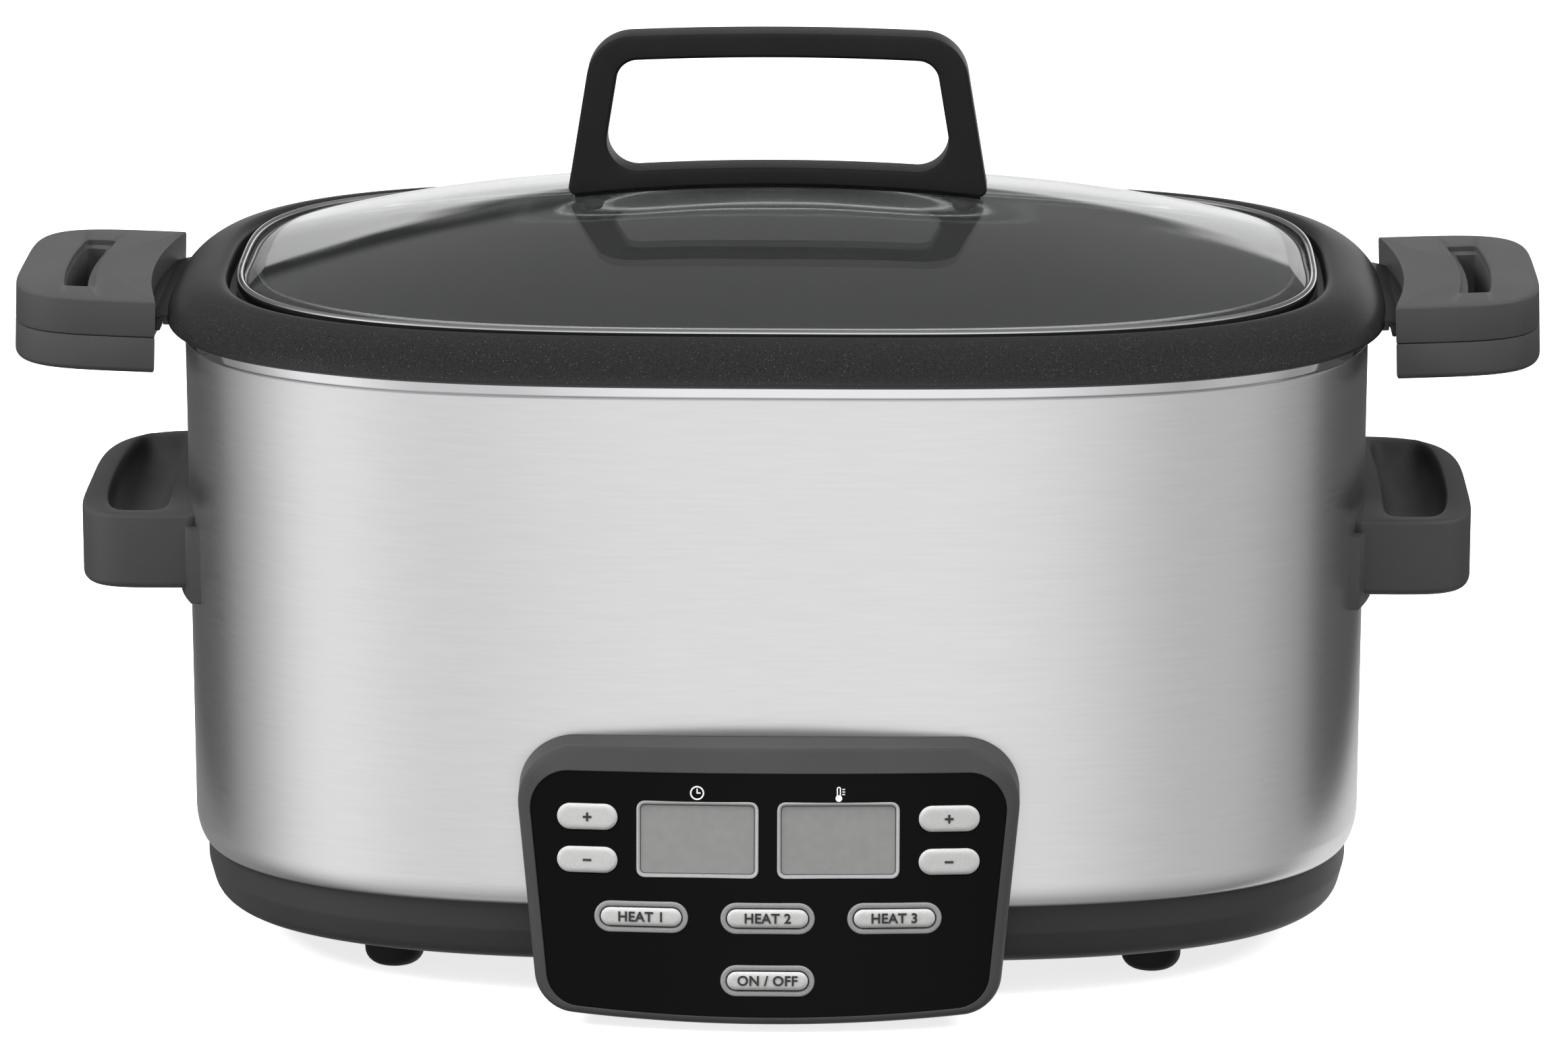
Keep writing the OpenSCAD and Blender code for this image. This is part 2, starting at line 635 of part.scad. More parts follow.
// Outline of the panel, its sides moved inwards, between two heights along the face; its low edge sags in the middle
function panel_outline(inset, low, high, r_low, r_top) =
    let (side = function (v) panel_w_low / 2 + side_slope * v - inset / cos(side_angle),
        foot_v = low + low_bow + r_low,
        cl = [side(foot_v) - r_low / cos(side_angle), foot_v],
        ct = [side(high - r_top) - r_top / cos(side_angle), high - r_top],
        low_arc = arc(cl, r_low, bow_angle - 90, -side_angle),
        top_arc = arc(ct, r_top, -side_angle, 90),
        right = concat(low_arc, between(low_arc[6], top_arc[0], 14), top_arc),
        left = mirrored(right),
        under = between(left[len(left) - 1], right[0], 8))
    concat(right, between(right[len(right) - 1], left[0], 8), left,
        [for (p = under) [p.x, p.y - low_bow * (1 - pow(p.x / right[0].x, 2))]]);

function bezel_outline(inset) =
    panel_outline(inset, inset, panel_h - inset, panel_r_low - inset, panel_r_top - inset);
function lens_outline(inset) =
    panel_outline(bezel_band + inset, bezel_low_band + inset, panel_h - bezel_top_band - inset,
        lens_r_low - inset, lens_r_top - inset);

// A ring of outline points that follow the curved face at a depth below it
function face_ring(points, depth) = [for (p = points) [p.x, depth + bulge(p.x), p.y]];

// Depth behind the panel's middle line of a point at y of the body's frame and v along the face
function depth_of(y, v) = (y + panel_reach - v * sin(panel_tilt)) / cos(panel_tilt);

// Inward offset of whatever the bezel's back edge meets at height z
function meet_inset(z) =
    z > shell_bottom + turn_h + 2 ? wrap_inset(z)
    : z > shell_bottom - 2 ? wrap_inset(max(z, shell_bottom)) - turn_clear : base_in;

// A point of the body's frame, in the panel's own frame
function in_panel(x, y, z) = let (dy = y + panel_reach, dz = z - panel_z)
    [x, dy * cos(panel_tilt) - dz * sin(panel_tilt), dy * sin(panel_tilt) + dz * cos(panel_tilt)];

// The height at which the panel's sides reach the body: level at the top, rising a little below
function back_z(v) = panel_z + cos(panel_tilt) * (v + back_rise * (1 - v / panel_h));
function back_ring(points) =
    [for (p = points) let (z = back_z(p.y)) in_panel(p.x, -front_at(p.x, meet_inset(z)) - seat, z)];

// Rings of the tray, in the body's frame: its flat back, and a ring that follows the face at a depth
function tray_back(points, y) = [for (p = points) [p.x, y, back_z(p.y)]];
function tray_front(points, depth) = [for (p = face_ring(points, depth))
    [p.x, p.y * cos(panel_tilt) + p.z * sin(panel_tilt) - panel_reach,
        p.z * cos(panel_tilt) - p.y * sin(panel_tilt) + panel_z]];

module control_bezel() color([0.3, 0.3, 0.31]) place() on_panel() {
    outer = bezel_outline(0);
    inner = lens_outline(-fit);
    loft([
        back_ring(outer),
        face_ring(outer, rim_round * 1.6),
        face_ring(bezel_outline(0.5), rim_round * 0.55),
        face_ring(bezel_outline(1.6), 0),
        face_ring(inner, 0),
        face_ring(inner, lens_back + fit),
        face_ring(bezel_outline(tray_wall), lens_back + fit),
        back_ring(bezel_outline(tray_wall))], closed = true);
}

// The material between two faces that run parallel to the panel's face
module face_layer(proud, deep) translate([0, face_r, -10]) difference() {
    cylinder(r = face_r + proud, h = panel_h + 20, $fn = 180);
    translate([0, 0, -1]) cylinder(r = face_r - deep, h = panel_h + 22, $fn = 180);
}

// A straight block through the panel, front at y = -through / 2
module block(points, depth = through) translate([0, depth / 2, 0]) rotate([90, 0, 0])
    linear_extrude(depth) polygon(points);

function moved(points, x, y) = [for (p = points) [p.x + x, p.y + y]];

lcd_x = 21.9;
lcd_z = 58;
small_key_x = 56.3;
small_key_z = [64.6, 51.1];
ring_x = 39.4;
ring_z = 33.5;
start_z = 13.9;
frame_band = 1.2;
ring_band = 1.7;
lcd_sink = 1.1;
frame_proud = 0.2;
ring_proud = 0.4;
key_proud = 1;
frame_back = lens_t + 1.2;
switch_h = 2;
pcb_depth = 12;
pcb_t = 1.6;
stem_end = pcb_depth - switch_h - key_travel - 0.2;

small_key_spots = [[-small_key_x, small_key_z[0]], [-small_key_x, small_key_z[1]],
    [small_key_x, small_key_z[0]], [small_key_x, small_key_z[1]]];
ring_spots = [[-ring_x, ring_z], [0, ring_z], [ring_x, ring_z], [0, start_z]];
lcd_spots = [[-lcd_x, lcd_z], [lcd_x, lcd_z]];

module panel_lens() color([0.04, 0.04, 0.04]) place() on_panel() difference() {
    intersection() {
        block(lens_outline(0));
        face_layer(-bezel_lip, lens_back);
    }
    for (p = small_key_spots) block(moved(stadium(small_key_w + 2 * seat, small_key_h + 2 * seat), p.x, p.y));
    for (p = ring_spots) block(moved(stadium(ring_w + 2 * fit, ring_h + 2 * fit), p.x, p.y));
    for (p = lcd_spots) block(moved(round_box(lcd_w + 2 * fit, lcd_h + 2 * fit, 2.5), p.x, p.y));
}

module display_frame(side) color([0.7, 0.7, 0.7]) place() on_panel() translate([side * lcd_x, 0, lcd_z])
    intersection() {
        difference() {
            block(round_box(lcd_w, lcd_h, 2.5));
            block(round_box(lcd_w - 2 * frame_band, lcd_h - 2 * frame_band, 1.4));
        }
        translate([-side * lcd_x, 0, -lcd_z]) face_layer(frame_proud - bezel_lip, frame_back);
    }

module left_display_frame() display_frame(-1);
module right_display_frame() display_frame(1);

module display(side) color([0.55, 0.56, 0.54]) place() on_panel() translate([side * lcd_x, 0, lcd_z])
    difference() {
        block(round_box(lcd_w - 2 * frame_band - 2 * fit, lcd_h - 2 * frame_band - 2 * fit, 1.3), 2 * pcb_depth);
        translate([-side * lcd_x, 0, -lcd_z]) face_layer(through, lcd_sink);
    }

module left_display() display(-1);
module right_display() display(1);

module key_ring(spot) color([0.5, 0.5, 0.5]) place() on_panel() intersection() {
    difference() {
        block(moved(stadium(ring_w, ring_h), spot.x, spot.y));
        block(moved(stadium(ring_w - 2 * ring_band, ring_h - 2 * ring_band), spot.x, spot.y));
    }
    face_layer(ring_proud - bezel_lip, frame_back);
}

module slow_key_ring() key_ring(ring_spots[0]);
module brown_key_ring() key_ring(ring_spots[1]);
module steam_key_ring() key_ring(ring_spots[2]);
module start_key_ring() key_ring(ring_spots[3]);

ear_w = 6;
ear_t = 1;

// A key: a round-ended cap, a retaining ear behind what surrounds it and a stem towards its switch
module key(spot, w, h, behind) color([0.8, 0.8, 0.8]) place() on_panel() {
    ear_y = bulge(abs(spot.x) + ear_w / 2) + behind + seat;
    difference() {
        block(moved(stadium(w, h), spot.x, spot.y), 2 * ear_y);
        face_layer(through, bezel_lip - key_proud);
    }
    translate([spot.x - ear_w / 2, ear_y, spot.y - h / 2 - 1.4]) cube([ear_w, ear_t, h + 2.8]);
    translate([spot.x, ear_y, spot.y]) rotate([-90, 0, 0]) cylinder(r = 2, h = stem_end - ear_y);
}

module small_key(i) key(small_key_spots[i], small_key_w, small_key_h, lens_back);
module ring_key(i) key(ring_spots[i], ring_w - 2 * (ring_band + seat), ring_h - 2 * (ring_band + seat), frame_back);

module time_plus_key() small_key(0);
module time_minus_key() small_key(1);
module temp_plus_key() small_key(2);
module temp_minus_key() small_key(3);
module slow_key() ring_key(0);
module brown_key() ring_key(1);
module steam_key() ring_key(2);
module start_key() ring_key(3);

pcb_w = 121;
pcb_low = 9.4;
pcb_high = 71;
pcb_boss_spots = [[-46, 12], [46, 12], [-20, 22], [20, 22]];

function tray_depth(v) = depth_of(tray_y, v);

module control_board() color([0.1, 0.35, 0.2]) place() on_panel() {
    difference() {
        translate([-pcb_w / 2, pcb_depth, pcb_low]) cube([pcb_w, pcb_t, pcb_high - pcb_low]);
        for (p = pcb_boss_spots) translate([p.x, pcb_depth - eps, p.y]) rotate([-90, 0, 0])
            cylinder(r = board_screw_r + fit, h = pcb_t + 2 * eps);
    }
    for (p = concat(small_key_spots, ring_spots)) {
        translate([p.x - 3, pcb_depth - switch_h + 0.5, p.y - 3]) cube([6, switch_h - 0.5 + eps, 6]);
        translate([p.x, pcb_depth - switch_h, p.y]) rotate([-90, 0, 0]) cylinder(r = 1.6, h = switch_h);
    }
}

upper_screw_z = 52;
lower_screw_z = 23;
panel_screw_x = 56;
panel_screw_r = 1.6;
panel_boss_len = half_d + seat - fit - front_at(panel_screw_x, base_in) + 1;
wire_w = 36;
wire_h = 12;
wire_z = 56;

// Where the body's front face lies at the panel's screws
function screw_face(z) = front_at(panel_screw_x, meet_inset(z));

// Where the undersides of their heads lie
function screw_seat(z) = -screw_face(z) + (z > shell_bottom ? shell_wall : base_wall) + 0.5;

module at_panel_screws(z) for (x = [-1, 1]) translate([x * panel_screw_x, -screw_face(z), z]) children();

// The tray behind the face plate: its back stands on the body, its front edge carries the plate
module panel_housing() color([0.2, 0.2, 0.21]) place() difference() {
    outside = bezel_outline(tray_wall + 4 * fit);
    inside = lens_outline(1.2);
    front = lens_back + 2 * fit;
    union() {
        loft([
            tray_back(outside, tray_y),
            tray_front(outside, front),
            tray_front(inside, front),
            tray_back(inside, tray_y - tray_wall)]);
        on_panel() for (p = pcb_boss_spots) translate([p.x, pcb_depth + pcb_t, p.y]) rotate([-90, 0, 0])
            cylinder(r = 3, h = tray_depth(p.y) - tray_wall / 2 - pcb_depth - pcb_t);
        for (x = [-1, 1], z = [lower_screw_z, upper_screw_z])
            translate([x * panel_screw_x, tray_y - tray_wall / 2, z]) rotate([90, 0, 0]) cylinder(r = 3.4, h = 4);
    }
    for (x = [-1, 1], z = [lower_screw_z, upper_screw_z])
        translate([x * panel_screw_x, tray_y + eps, z]) rotate([90, 0, 0]) cylinder(r = panel_screw_r + fit, h = 5.2);
    translate([0, tray_y, wire_z]) rotate([90, 0, 0])
        linear_extrude(2 * tray_wall + 2, center = true) polygon(stadium(wire_w, wire_h));
    on_panel() for (p = pcb_boss_spots) translate([p.x, pcb_depth, p.y]) rotate([-90, 0, 0])
        cylinder(r = board_screw_r + fit, h = 6.4);
}

// The heads lie inside the wrap and inside the base
module panel_screws() color([0.7, 0.7, 0.7]) place() {
    for (x = [-1, 1], z = [lower_screw_z, upper_screw_z])
        translate([x * panel_screw_x, screw_seat(z), z]) rotate([90, 0, 0])
            screw(panel_screw_r, screw_seat(z) - tray_y + 4.5);
}

// ---------- pot ----------

grip_x = half_w + rim_over + 1.4;
grip_z = rim_under - 3.4;
grip_n = 4.6;
grip_hollow = 5.2;
grip_hollow_r = (grip_len * grip_len / 4 + grip_hollow * grip_hollow) / (2 * grip_hollow);
slot_x = 29.2;
slot_half = 33;
grip_bevel = 2.3;
lug_t = 4.4;
lug_w = 88;
lug_len = 21;
lug_root = -9;
grip_screw_r = 1.8;
grip_screw_x = 14;
grip_screw_y = 24;
grip_head_depth = 4.6;

// Puts children in a grip's own frame: x runs out from the pot, z = 0 is the parting plane
module at_grip(side) end_of(side) translate([grip_x, 0, grip_z]) rotate([0, -grip_tilt, 0]) children();

// An ear of the pot: its root lies in the rim, its tongue between the grip's halves
module pot_ear() difference() {
    step = rim_under - grip_z + 0.5;
    intersection() {
        rotate([90, 0, 0]) linear_extrude(lug_w, center = true) polygon([
            [lug_root, step], [-1, step], [-0.4, fit], [lug_len, fit], [lug_len, fit + lug_t],
            [2, fit + lug_t], [-2, fit + lug_t + 1.2], [lug_root, fit + lug_t + 2]]);
        translate([0, 0, -1]) linear_extrude(grip_up) polygon(round_box(2 * lug_len, lug_w, 8));
    }
    for (y = [-1, 1]) translate([grip_screw_x, y * grip_screw_y, -1]) cylinder(r = grip_screw_r + seat, h = grip_up);
}

module cooking_pot() color([0.16, 0.16, 0.17]) place() {
    wall_top = pot_in;
    inside = pot_in + pot_wall;
    corner_z = pot_bottom + pot_floor;
    loft([
        ring(wall_top + pot_taper + 12, pot_bottom),
        ring(wall_top + pot_taper + 5, pot_bottom + 2),
        ring(wall_top + pot_taper + 1.4, pot_bottom + 7),
        ring(wall_top + pot_taper, pot_bottom + 15),
        ring(wall_top, rim_under),
        ring(-rim_over + 1, rim_under),
        ring(-rim_over, rim_under + 1.4),
        ring(-rim_over + rim_slope * 0.2, rim_z - rim_slope * 0.27),
        ring(-rim_over + rim_slope * 0.42, rim_z - rim_slope * 0.1),
        ring(-rim_over + rim_slope * 0.68, rim_z + 0.1),
        ring(-rim_over + rim_slope * 0.88, rim_z + 0.6),
        ring(rim_in, rim_z - 0.4),
        ring(rim_in + 0.4, ledge_z),
        ring(inside, ledge_z - 0.4),
        ring(inside + pot_taper, corner_z + 15),
        ring(inside + pot_taper + 1.6, corner_z + 6),
        ring(inside + pot_taper + 5, corner_z + 2),
        ring(inside + pot_taper + 12, corner_z)]);
    for (side = [-1, 1]) at_grip(side) pot_ear();
}

// The hollow inner edge of a grip at y
function hollow_x(y) = grip_hollow - grip_hollow_r + sqrt(grip_hollow_r * grip_hollow_r - y * y);

function grip_ring(inset, z, steps = 20) =
    let (a = grip_reach - inset, b = grip_len / 2 - inset)
    concat(
        [for (i = [1 : steps - 1]) let (t = -90 + 180 * i / steps)
            [a * signed_pow(cos(t), 2 / grip_n), b * signed_pow(sin(t), 2 / grip_n), z]],
        [for (i = [0 : 12]) let (y = b - b * i / 6) [hollow_x(y), y, z]]);

// A curved band across a grip, parallel to its hollow inner edge
function grip_band(from, to, half) =
    let (c = [grip_hollow - grip_hollow_r, 0], r0 = from - c.x, r1 = to - c.x, a = asin(half / r1))
    concat(arc(c, r1, -a, a, 8), arc(c, r0, a, -a, 8));

module grip_cuts() translate([0, 0, -through / 2]) linear_extrude(through)
    polygon(grip_band(slot_x - grip_slot / 2, slot_x + grip_slot / 2, slot_half));

module grip_top(side) color([0.3, 0.3, 0.31]) place() at_grip(side) difference() {
    loft([grip_ring(0.35, 0), grip_ring(0, 0.4), grip_ring(0, grip_up - 1.2), grip_ring(0.35, grip_up - 0.35),
        grip_ring(1.2, grip_up)]);
    grip_cuts();
    translate([0, 0, grip_up - 2.4]) linear_extrude(through)
        polygon(grip_band(slot_x - grip_slot / 2 - grip_bevel, slot_x + grip_slot / 2 + 0.5, slot_half + grip_bevel));
    translate([0, 0, -eps]) linear_extrude(fit + lug_t + seat) polygon(round_box(2 * lug_len + 2 * seat, lug_w + 2 * seat, 8));
    translate([0, 0, -eps]) rotate([90, 0, 0]) linear_extrude(lug_w + 2 * seat, center = true)
        polygon([[-2, 0], [-2, lug_t + 2], [3, lug_t + 2], [8, lug_t]]);
    for (y = [-1, 1]) translate([grip_screw_x, y * grip_screw_y, 0])
        cylinder(r = grip_screw_r + fit, h = grip_up - 1.6);
}

module grip_bottom(side) color([0.3, 0.3, 0.31]) place() at_grip(side) difference() {
    loft([grip_ring(2, -grip_down), grip_ring(0.6, -grip_down + 0.6), grip_ring(0, -grip_down + 2),
        grip_ring(0, -0.4), grip_ring(0.35, 0)]);
    grip_cuts();
    for (y = [-1, 1]) translate([grip_screw_x, y * grip_screw_y, -grip_down - eps]) {
        cylinder(r = grip_screw_r + fit, h = through);
        cylinder(r = head_r + seat, h = grip_head_depth);
    }
}

module left_grip_top() grip_top(-1);
module right_grip_top() grip_top(1);
module left_grip_bottom() grip_bottom(-1);
module right_grip_bottom() grip_bottom(1);

module grip_screws() color([0.7, 0.7, 0.7]) place() for (side = [-1, 1], y = [-1, 1]) at_grip(side)
    translate([grip_screw_x, y * grip_screw_y, -grip_down + grip_head_depth - eps - fit])
        screw(grip_screw_r, grip_down + grip_up - grip_head_depth - 2.5);

// ---------- lid ----------

ledge_z = rim_z - ledge_drop;
lid_in = rim_in + lid_gap;
band_t = 2.3;
band_foot = 5;
band_low = ledge_z + seat;
lip_t = 0.9;
edge_z = band_low + lip_t + fit + glass_t;
band_top = edge_z + 1.2;
glass_in = lid_in + band_t + fit;
dome_power = 2;
gasket_t = 0.8;
crown_z = edge_z + dome_rise;

// Height of the glass's upper face at s, the distance from the middle as a share of the edge's
function dome(s) = edge_z + dome_rise * (1 - pow(s, dome_power));
function glass_x(x) = dome(abs(x) / (half_w - glass_in));
function dome_ring(s, drop) =
    [for (p = oval((half_w - glass_in) * s, (half_d - glass_in) * s)) [p.x, p.y, dome(s) - drop]];

dome_steps = [0.1, 0.34, 0.54, 0.72, 0.87, 1];
lid_screw_r = 1.8;
lid_screw_x = 60;
lid_screw_slope = atan(dome_rise * dome_power * pow(lid_screw_x / (half_w - glass_in), dome_power - 1) / (half_w - glass_in));
washer_t = 1;
washer_r = 6;
lid_screw_grip = 12;

module at_lid_screws() for (side = [-1, 1]) end_of(side)
    translate([lid_screw_x, 0, glass_x(lid_screw_x)]) rotate([0, lid_screw_slope, 0]) children();

module lid_glass() color([0.22, 0.22, 0.23, 0.6]) place() difference() {
    loft(concat([for (s = dome_steps) dome_ring(s, glass_t)],
        [for (i = [len(dome_steps) - 1 : -1 : 0]) dome_ring(dome_steps[i], 0)]));
    at_lid_screws() cylinder(r = lid_screw_r + seat, h = through, center = true);
}

module lid_band() color([0.85, 0.85, 0.86]) place() loft([
    ring(lid_in + 0.5, band_low),
    ring(lid_in, band_low + 0.6),
    ring(lid_in, band_top - 1),
    ring(lid_in + 1, band_top),
    ring(lid_in + band_t, band_top - 0.5),
    ring(lid_in + band_t, band_low + lip_t),
    ring(lid_in + band_foot, band_low + lip_t),
    ring(lid_in + band_foot, band_low)], closed = true);

lift_top = crown_z + lift_h;
lift_lean = atan(lift_slope);
lift_foot_r = 2.5;
lift_foot_z = glass_x(lift_foot - lift_foot_r) + gasket_t;
lift_top_r = 15;
lift_arch = 1;
lift_round = 1.2;
sill_z = crown_z + 6.7;
window_low_r = 10;
window_top_r = 7;

// Outer edge of the lid handle's leg at height z
function leg_x(z) = lift_foot - lift_slope * (z - lift_foot_z);

// Right-hand half of a trapezoid with round corners; its side lies inwards of the leg's outer edge
function lift_half(inward, low, high, r_low, r_top, grow) =
    let (c0 = [leg_x(low + r_low) - (inward + r_low) / cos(lift_lean), low + r_low],
        c1 = [leg_x(high - r_top) - (inward + r_top) / cos(lift_lean), high - r_top],
        a = arc(c0, r_low + grow, -90, lift_lean),
        b = arc(c1, r_top + grow, lift_lean, 90))
    concat(a, between(a[len(a) - 1], b[0], 4), b);

// The low and high runs between the halves are bent by functions of x
function lift_outline(half, bend_low, bend_high, steps = 12) =
    let (left = mirrored(half), n = len(half), over = between(half[n - 1], left[0], steps),
        under = between(left[n - 1], half[0], steps))
    concat(half, [for (p = over) [p.x, p.y + bend_high(p.x, half[n - 1].x)]],
        left, [for (p = under) [p.x, p.y + bend_low(p.x, half[0].x)]]);

function lift_outer(inset) = lift_outline(
    lift_half(0, lift_foot_z, lift_top - lift_arch, lift_foot_r, lift_top_r, -inset),
    function (x, edge) glass_x(x) - glass_x(edge),
    function (x, edge) lift_arch * (1 - x * x / (edge * edge)));
function lift_window(grow) = lift_outline(
    lift_half(lift_leg, sill_z, lift_top - lift_bar - lift_arch, window_low_r, window_top_r, grow),
    function (x, edge) 0,
    function (x, edge) lift_arch * (1 - x * x / (edge * edge)));

function upright(points, y) = [for (p = points) [p.x, y, p.y]];

module lid_handle() color([0.1, 0.1, 0.1]) place() difference() {
    back = lift_t / 2;
    edge = back - lift_round;
    soft = lift_round * 0.3;
    loft([
        upright(lift_outer(0), edge), upright(lift_outer(0), -edge),
        upright(lift_outer(soft), soft - back), upright(lift_outer(lift_round * 0.8), -back),
        upright(lift_window(lift_round * 0.8), -back), upright(lift_window(0), -edge),
        upright(lift_window(0), edge), upright(lift_window(lift_round * 0.8), back),
        upright(lift_outer(lift_round * 0.8), back), upright(lift_outer(soft), back - soft)], closed = true);
    at_lid_screws() cylinder(r = lid_screw_r + fit, h = 2 * (lid_screw_grip + 1), center = true);
}

// A soft strip between the handle's foot and the glass
module lid_handle_gasket() color([0.15, 0.15, 0.15]) place() difference() {
    half = lift_foot - lift_foot_r;
    xs = [for (i = [-12 : 12]) half * i / 12];
    rotate([90, 0, 0]) linear_extrude(lift_t - 2 * lift_round, center = true) polygon(concat(
        [for (x = xs) [x, glass_x(x) + 0.05]],
        [for (i = [len(xs) - 1 : -1 : 0]) [xs[i], glass_x(xs[i]) + gasket_t - 0.12]]));
    at_lid_screws() cylinder(r = lid_screw_r + seat, h = 6, center = true);
}

module lid_handle_washers() color([0.75, 0.75, 0.75]) place() at_lid_screws()
    translate([0, 0, -glass_t - seat - washer_t]) difference() {
        cylinder(r = washer_r, h = washer_t);
        translate([0, 0, -eps]) cylinder(r = lid_screw_r + fit, h = washer_t + 2 * eps);
    }

module lid_handle_screws() color([0.75, 0.75, 0.75]) place() at_lid_screws()
    translate([0, 0, -glass_t - seat - washer_t]) screw(lid_screw_r, glass_t + seat + washer_t + lid_screw_grip);

housing_shell();
shell_trim_ring();
base_pan();
bottom_cover();
front_left_foot();
front_right_foot();
rear_left_foot();
rear_right_foot();
inner_liner();
heating_plate();
heating_element();
heat_shield();
thermal_fuse();
sensor_guide();
sensor_plunger();
sensor_spring();
left_body_handle();
right_body_handle();
body_handle_screws();
control_bezel();
panel_lens();
panel_housing();
panel_screws();
left_display_frame();
right_display_frame();
left_display();
right_display();
slow_key_ring();
brown_key_ring();
steam_key_ring();
start_key_ring();
time_plus_key();
time_minus_key();
temp_plus_key();
temp_minus_key();
slow_key();
brown_key();
steam_key();
start_key();
control_board();
power_board();
board_screws();
base_screws();
cord_gland();
cooking_pot();
left_grip_top();
left_grip_bottom();
right_grip_top();
right_grip_bottom();
grip_screws();
lid_glass();
lid_band();
lid_handle();
lid_handle_gasket();
lid_handle_washers();
lid_handle_screws();
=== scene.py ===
import math
import bmesh
import bpy
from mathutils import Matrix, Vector


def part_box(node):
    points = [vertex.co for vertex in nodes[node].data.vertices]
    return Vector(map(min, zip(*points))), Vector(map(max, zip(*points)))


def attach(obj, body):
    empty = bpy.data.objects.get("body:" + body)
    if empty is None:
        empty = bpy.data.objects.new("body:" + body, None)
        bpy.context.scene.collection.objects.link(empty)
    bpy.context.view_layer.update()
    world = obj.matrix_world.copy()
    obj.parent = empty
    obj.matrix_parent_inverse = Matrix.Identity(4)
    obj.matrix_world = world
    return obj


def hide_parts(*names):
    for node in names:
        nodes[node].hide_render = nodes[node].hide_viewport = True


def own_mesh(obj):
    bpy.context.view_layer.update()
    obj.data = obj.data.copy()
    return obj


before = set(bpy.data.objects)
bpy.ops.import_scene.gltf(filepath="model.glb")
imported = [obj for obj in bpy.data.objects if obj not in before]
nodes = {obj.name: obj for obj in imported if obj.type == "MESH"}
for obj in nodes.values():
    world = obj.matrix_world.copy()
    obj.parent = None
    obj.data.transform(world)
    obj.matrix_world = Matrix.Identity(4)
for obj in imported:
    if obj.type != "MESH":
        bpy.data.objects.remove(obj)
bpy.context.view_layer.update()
mm = 0.001
bodyShift = 10.7  # the body's middle lies this far behind the origin, in mm

# the camera: lens in mm, places in m, angles in degrees
cameraSet = {"lens": 180.264, "distance": 2.5653, "elevation": 14.576, "yaw": 1.25, "targetZ": 0.110,
             "shiftX": 0.0038, "shiftY": 0.02397}


def addObject(name, data):
    obj = bpy.data.objects.new(name, data)
    bpy.context.scene.collection.objects.link(obj)
    return obj


def aimAt(obj, target):
    obj.rotation_euler = (target - obj.location).to_track_quat("-Z", "Y").to_euler()


def addCamera():
    data = bpy.data.cameras.new("studioCamera")
    data.sensor_width = 36
    data.lens = cameraSet["lens"]
    data.shift_x, data.shift_y = cameraSet["shiftX"], cameraSet["shiftY"]
    data.clip_end = 20
    e, yaw = math.radians(cameraSet["elevation"]), math.radians(cameraSet["yaw"])
    target = Vector((0, bodyShift * mm, cameraSet["targetZ"]))
    back = Vector((math.sin(yaw) * math.cos(e), -math.cos(yaw) * math.cos(e), math.sin(e)))
    camera = addObject("studioCamera", data)
    camera.location = target + back * cameraSet["distance"]
    aimAt(camera, target)
    bpy.context.scene.camera = camera


lampSet = {
    "leftBox": {"place": (-1.6, -0.6, 1.5), "size": (1.0, 1.0), "power": 62},
    "rightBox": {"place": (1.6, -0.5, 1.5), "size": (1.0, 1.0), "power": 40},
    "frontBox": {"place": (0.0, -2.0, 1.4), "size": (0.9, 0.9), "power": 3},
    "topBox": {"place": (0, -0.2, 1.6), "size": (1.5, 1.1), "power": 24},
}


def addLamps():
    for name, lamp in lampSet.items():
        data = bpy.data.lights.new(name, "AREA")
        data.shape = "RECTANGLE"
        data.size, data.size_y = lamp["size"]
        data.energy = lamp["power"]
        obj = addObject(name, data)
        obj.location = lamp["place"]
        aimAt(obj, Vector((0, 0, 0.13)))
        obj.visible_glossy = False  # the gloss comes from the room alone


def feed(tree, node, **sources):
    # gives a node's inputs sockets, other nodes or plain values; input3 stands for the input numbered 3
    for key, source in sources.items():
        socket = node.inputs[int(key[5:]) if key.startswith("input") else key.replace("_", " ")]
        if isinstance(source, bpy.types.Node):
            source = source.outputs[0]
        if isinstance(source, bpy.types.NodeSocket):
            tree.links.new(source, socket)
        else:
            socket.default_value = source


def addNode(tree, kind, settings=None, **sources):
    node = tree.nodes.new(kind)
    for key, value in (settings or {}).items():
        if key == "stops":
            while len(node.color_ramp.elements) < len(value):
                node.color_ramp.elements.new(0.5)
            for element, (place, colour) in zip(node.color_ramp.elements, value):
                element.position, element.color = place, colour
        elif isinstance(key, int) or key in node.inputs:
            node.inputs[key].default_value = value
        else:
            setattr(node, key, value)
    feed(tree, node, **sources)
    return node


# the body's oval is a superellipse; from here on sizes are in mm, and y counts from the body's middle
body = {"halfWidth": 190, "halfDepth": 128, "power": 3.2, "top": 196.6, "bottom": 32, "wall": 1, "taper": 0.8,
        "turnIn": 3.2, "turnHeight": 8.5, "seam": 0.5, "sides": 320}


def signedPower(value, power):
    return math.copysign(abs(value) ** power, value)


def ovalPoint(angle, a, b, power):
    return (a * signedPower(math.cos(angle), 2 / power), b * signedPower(math.sin(angle), 2 / power))


def evenAngles(a, b, power, count, dense=20000):
    # angles that space points evenly round an oval
    spots = [ovalPoint(2 * math.pi * i / dense, a, b, power) for i in range(dense + 1)]
    run = [0]
    for p, q in zip(spots, spots[1:]):
        run.append(run[-1] + math.dist(p, q))
    angles, i = [], 0
    for k in range(count):
        goal = run[-1] * (k + 0.5) / count
        while run[i + 1] < goal:
            i += 1
        angles.append(2 * math.pi * (i + (goal - run[i]) / (run[i + 1] - run[i])) / dense)
    return angles


ovalAngles = evenAngles(body["halfWidth"], body["halfDepth"], body["power"], body["sides"])


